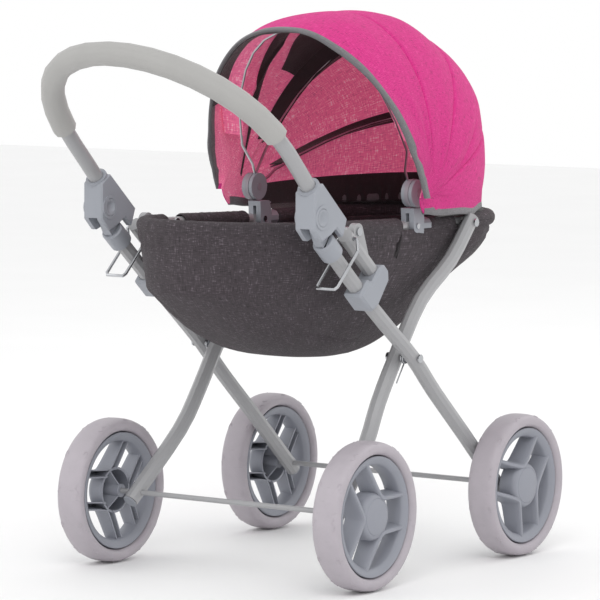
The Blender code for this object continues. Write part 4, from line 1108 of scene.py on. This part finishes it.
class PRAM_OT_wheels(bpy.types.Operator):
    """Tyres with raised shoulder marks, moulded wheels with paired blades, domed hub caps"""
    bl_idname = "pram.wheels"
    bl_label = "Wheels"

    def execute(self, context):
        tyre = self.tyre()
        wheel = self.wheel()
        for name in CORNERS:
            centre = middle("tyre_" + name)
            mirror = MIRROR if name.endswith("left") else Matrix.Identity(4)
            phase = {"rear_left": 54, "rear_right": 0, "front_left": 54, "front_right": 45}[name]
            turn = Matrix.Rotation(math.radians(phase), 4, "X")
            place = Matrix.Translation(centre) @ turn @ mirror
            body = "wheel_" + name
            for piece, kind, node in ((tyre, "tyre", "tyre_"), (wheel, "wheel", "wheel_")):
                copy = moved(copied(piece, kind + "_shape_" + name), place)
                wear(copy, finish_named(kind))
                smooth(copy, 40)
                stands_for = [node + name] + (["hub_cap_" + name] if kind == "wheel" else [])
                placed(copy, body, kind, *stands_for)
        dropped(tyre, wheel)
        return {"FINISHED"}

    def tyre(self):
        outer, inner, half = 75 * MM, 61 * MM, 15.5 * MM
        depth = outer - inner
        ring = []
        for step in range(28):
            turn = math.tau * step / 28
            a, b = math.cos(turn), math.sin(turn)
            ring.append((inner + depth * (0.5 + 0.5 * power(a, 2.7)), half * power(b, 2.9)))
        tyre = turned("tyre_ring", ring, 120)
        marks = []
        for index in range(12):
            angle = math.tau * index / 12
            shape = (self.chevron, self.curl)[index % 2]
            for side in (-1, 1):
                points = [self.on_tyre(angle + s, t * side) for s, t in shape()]
                mark = swept("mark", points, 0.5 * MM, 8)
                marks.append(mark)
        return joined("tyre_ring", tyre, *marks)

    def chevron(self):
        return [(-0.085, 0.50), (-0.03, 0.34), (0.03, 0.60), (0.085, 0.40)]

    def curl(self):
        return [(0.05 * math.cos(k * 0.6), 0.47 + 0.12 * math.sin(k * 0.6)) for k in range(9)]

    def on_tyre(self, angle, share):
        """A point on the shoulder. share goes from 0 on the tread to 1 on the side wall."""
        turn = math.radians(90) * abs(share)
        a, b = math.cos(turn), math.sin(turn)
        radius = 61 * MM + 14 * MM * (0.5 + 0.5 * power(a, 2.7)) + 0.05 * MM
        x = math.copysign(15.5 * MM * power(b, 2.9), share)
        return Vector((x, radius * math.cos(angle), radius * math.sin(angle)))

    def vane(self, direction):
        """A hollow bent blade: out from the rim, round the hub and back, open on its inner side."""
        foot, arm, bend = 20.2, 43.1, 5.0

        def place(u, v):
            run = (2 * u - 1) * (arm + 0.0)
            far = math.sqrt(run * run + bend * bend) - bend * 0.42
            centre = Vector((foot + 0.5 * far, math.copysign(1, run) * 0.866 * abs(run)))
            slope = 0.5 * run / math.sqrt(run * run + bend * bend)
            way = Vector((slope, 0.866)).normalized()
            side = Vector((way.y, -way.x))
            front = 14.0 - 4.2 * abs(run) / arm
            rows = ((-3.9, -7), (-3.0, 0), (-1.7, front - 1.2), (-0.9, front), (0.9, front),
                    (1.7, front - 1.2), (3.0, 0), (3.9, -7))
            low = min(int(v * 7), 6)
            part = v * 7 - low
            offset = rows[low][0] + (rows[low + 1][0] - rows[low][0]) * part
            x = rows[low][1] + (rows[low + 1][1] - rows[low][1]) * part
            spot = centre + side * offset
            return Vector((x, spot.x, spot.y)) * MM

        vane = sheet_piece("vane", 36, 14, place, (0.09, 0.04))
        inside_first(vane)
        apply(vane, "SOLIDIFY", thickness=1.5 * MM, offset=0)
        merged(vane)
        return moved(vane, Matrix.Rotation(math.radians(direction), 4, "X"))

    def wheel(self):
        outer, inner = 60.7, 51.7
        band = [(inner, 7.6), (inner + 1.2, 9.4), (outer - 3, 12.0), (outer - 1, 12.5),
                (outer, 12.0), (outer, -12.0), (outer - 1, -12.5), (outer - 3, -12.0),
                (inner + 1.2, -9.4), (inner, -7.6), (inner - 0.5, -1.2), (inner - 0.5, 1.2)]
        band = turned("band", [(r * MM, x * MM) for r, x in band], 96)
        drum = [(24, -5.5), (24, 7.2), (23.7, 9.4), (22.9, 11.3), (21.6, 12.9), (20, 13.8),
                (18.9, 14.0), (18.7, 13.7), (18.4, 14.2), (17.9, 14.4), (3.0, 14.5), (0.02, 14.5),
                (0.02, 4), (2.9, 4), (2.9, -13.4), (6.6, -13.4), (7, -13), (7, 10.2), (8, 11),
                (20.2, 11), (21.4, 10), (21.7, -5.5)]
        drum = turned("drum", [(r * MM, x * MM) for r, x in drum], 72)
        vanes = [self.vane(60 + index * 120) for index in range(3)]
        hollow = turned("hollow", [(0.1 * MM, 10.9 * MM), (21.6 * MM, 10.9 * MM),
                                   (21.6 * MM, -9 * MM), (0.1 * MM, -9 * MM)], 48)
        for vane in vanes:
            apply(vane, "BOOLEAN", object=hollow, operation="DIFFERENCE", solver="EXACT")
        dropped(hollow)
        ribs = []
        for index in range(3):
            rib = slab("rib", [(6.0 * MM, -0.7 * MM), (22.4 * MM, -0.7 * MM), (22.4 * MM, 0.7 * MM),
                               (6.0 * MM, 0.7 * MM)], -12.5 * MM, 11.4 * MM)
            for vertex in rib.data.vertices:
                if vertex.co.y > 15 * MM and vertex.co.x < 0:
                    vertex.co.x = -5.3 * MM
            ribs.append(moved(rib, Matrix.Rotation(math.radians(60 + index * 120), 4, "X")))
        return joined("wheel_form", band, drum, *vanes, *ribs)


# ---- plain frame nodes -----------------------------------------------------------------------------

NODE_FINISH = {
    "tube": ("front_leg", "rear_leg", "support_strut"),
    "joint": ("leg_plug_front", "leg_plug_rear", "pivot_spacer", "strut_bracket",
              "handle_knuckle", "handle_yoke", "handle_button", "hood_clip"),
    "hub": ("hood_hub",),
    "steel": ("frame_pivot_bolt", "pivot_spring", "strut_bolt", "latch_bail", "rim_bolt",
              "rim_hinge_pin"),
}


class PRAM_OT_frame(bpy.types.Operator):
    """Paint, plastic and plate on the frame nodes whose shape stays as it is"""
    bl_idname = "pram.frame"
    bl_label = "Frame finishes"

    def execute(self, context):
        for finish, names in NODE_FINISH.items():
            for name in names:
                for side, _ in SIDES:
                    edge = 0.9 * MM if finish == "joint" and "button" not in name else 0
                    node = carry_over(name + "_" + side, finish_named(finish), 32, edge)
        singles = {"handle_tube": "tube", "rim_rear": "tube", "rim_front": "tube",
                   "rear_axle": "tube", "front_axle": "tube", "hood_bow_front": "bow",
                   "hood_bow_middle": "bow", "hood_bow_rear": "bow", "handle_grip": "grip"}
        for name, finish in singles.items():
            carry_over(name, finish_named(finish), 50)
        return {"FINISHED"}


# ---- stage ---------------------------------------------------------------------------------------

class PRAM_OT_stage(bpy.types.Operator):
    """Pale floor, soft studio light and the camera"""
    bl_idname = "pram.stage"
    bl_label = "Stage"

    def execute(self, context):
        floor = start("plane", "studio_floor", size=14, location=(0, 0, -0.0005))
        recipe = Recipe("pale_floor")
        grain = recipe.noise(recipe.coordinates("Object"), 4, 2)
        wear(floor, recipe.finish(Base_Color=recipe.mixed(grain, (0.9, 0.9, 0.9), (0.93, 0.93, 0.93)),
                                  Roughness=0.7))
        world = bpy.data.worlds.new("studio_sky")
        bpy.context.scene.world = world
        world.use_nodes = True
        world.node_tree.nodes["Background"].inputs[0].default_value = (1, 1, 1, 1)
        world.node_tree.nodes["Background"].inputs[1].default_value = 1.0
        lamps = (("key", (1.3, -1.9, 2.3), 1.4, 20), ("fill", (-2.2, -1.2, 1.4), 1.8, 6),
                 ("back", (0.4, 2.4, 1.9), 1.5, 8))
        for name, place, size, power_w in lamps:
            lamp = bpy.data.lights.new(name + "_lamp", "AREA")
            lamp.energy = power_w
            lamp.size = size
            holder = bpy.data.objects.new(name + "_lamp", lamp)
            bpy.context.scene.collection.objects.link(holder)
            holder.location = place
            aim = Vector((0, 0, 0.3)) - Vector(place)
            holder.rotation_euler = aim.to_track_quat("-Z", "Y").to_euler()
        camera = bpy.data.cameras.new("studio_camera")
        camera.lens = 222.8
        camera.clip_end = 40
        holder = bpy.data.objects.new("studio_camera", camera)
        bpy.context.scene.collection.objects.link(holder)
        holder.location = (2.187, -3.188 + SHIFT_Y, 0.615)
        turn = math.radians(34.449)
        aim = Vector((-0.01684 * math.cos(turn), -0.01684 * math.sin(turn) + SHIFT_Y, 0.2718))
        look = (aim - holder.location).to_track_quat("-Z", "Y")
        roll = Matrix.Rotation(math.radians(0.295), 3, "Z").to_quaternion()
        holder.rotation_euler = (look @ roll).to_euler()
        bpy.context.scene.camera = holder
        bpy.context.scene.view_settings.view_transform = "Standard"
        return {"FINISHED"}


class PRAM_PT_panel(bpy.types.Panel):
    """Lists the pram's pieces in the sidebar"""
    bl_label = "Doll pram"
    bl_idname = "PRAM_PT_panel"
    bl_space_type = "VIEW_3D"
    bl_region_type = "UI"
    bl_category = "Doll pram"

    def draw(self, context):
        for group in (context.scene.pram_colours, context.scene.pram_sizes):
            for name in group.__annotations__:
                self.layout.prop(group, name)
        for operator in OPERATORS:
            self.layout.operator(operator.bl_idname)


OPERATORS = (PRAM_OT_stage, PRAM_OT_frame, PRAM_OT_wheels, PRAM_OT_bag, PRAM_OT_sleeves,
             PRAM_OT_hood, PRAM_OT_hood_lining)
CLASSES = (PramColours, PramSizes, *OPERATORS, PRAM_PT_panel)


def register():
    for cls in CLASSES:
        bpy.utils.register_class(cls)
    bpy.types.Scene.pram_colours = bpy.props.PointerProperty(type=PramColours)
    bpy.types.Scene.pram_sizes = bpy.props.PointerProperty(type=PramSizes)


def unregister():
    del bpy.types.Scene.pram_sizes
    del bpy.types.Scene.pram_colours
    for cls in reversed(CLASSES):
        bpy.utils.unregister_class(cls)


def main():
    register()
    random.seed(7)
    for item in [o for o in bpy.data.objects if o.name in ("Cube", "Light", "Camera")]:
        bpy.data.objects.remove(item)
    for operator in OPERATORS:
        group, name = operator.bl_idname.split(".")
        getattr(getattr(bpy.ops, group), name)()
    bpy.context.view_layer.update()


if __name__ == "__main__":
    main()
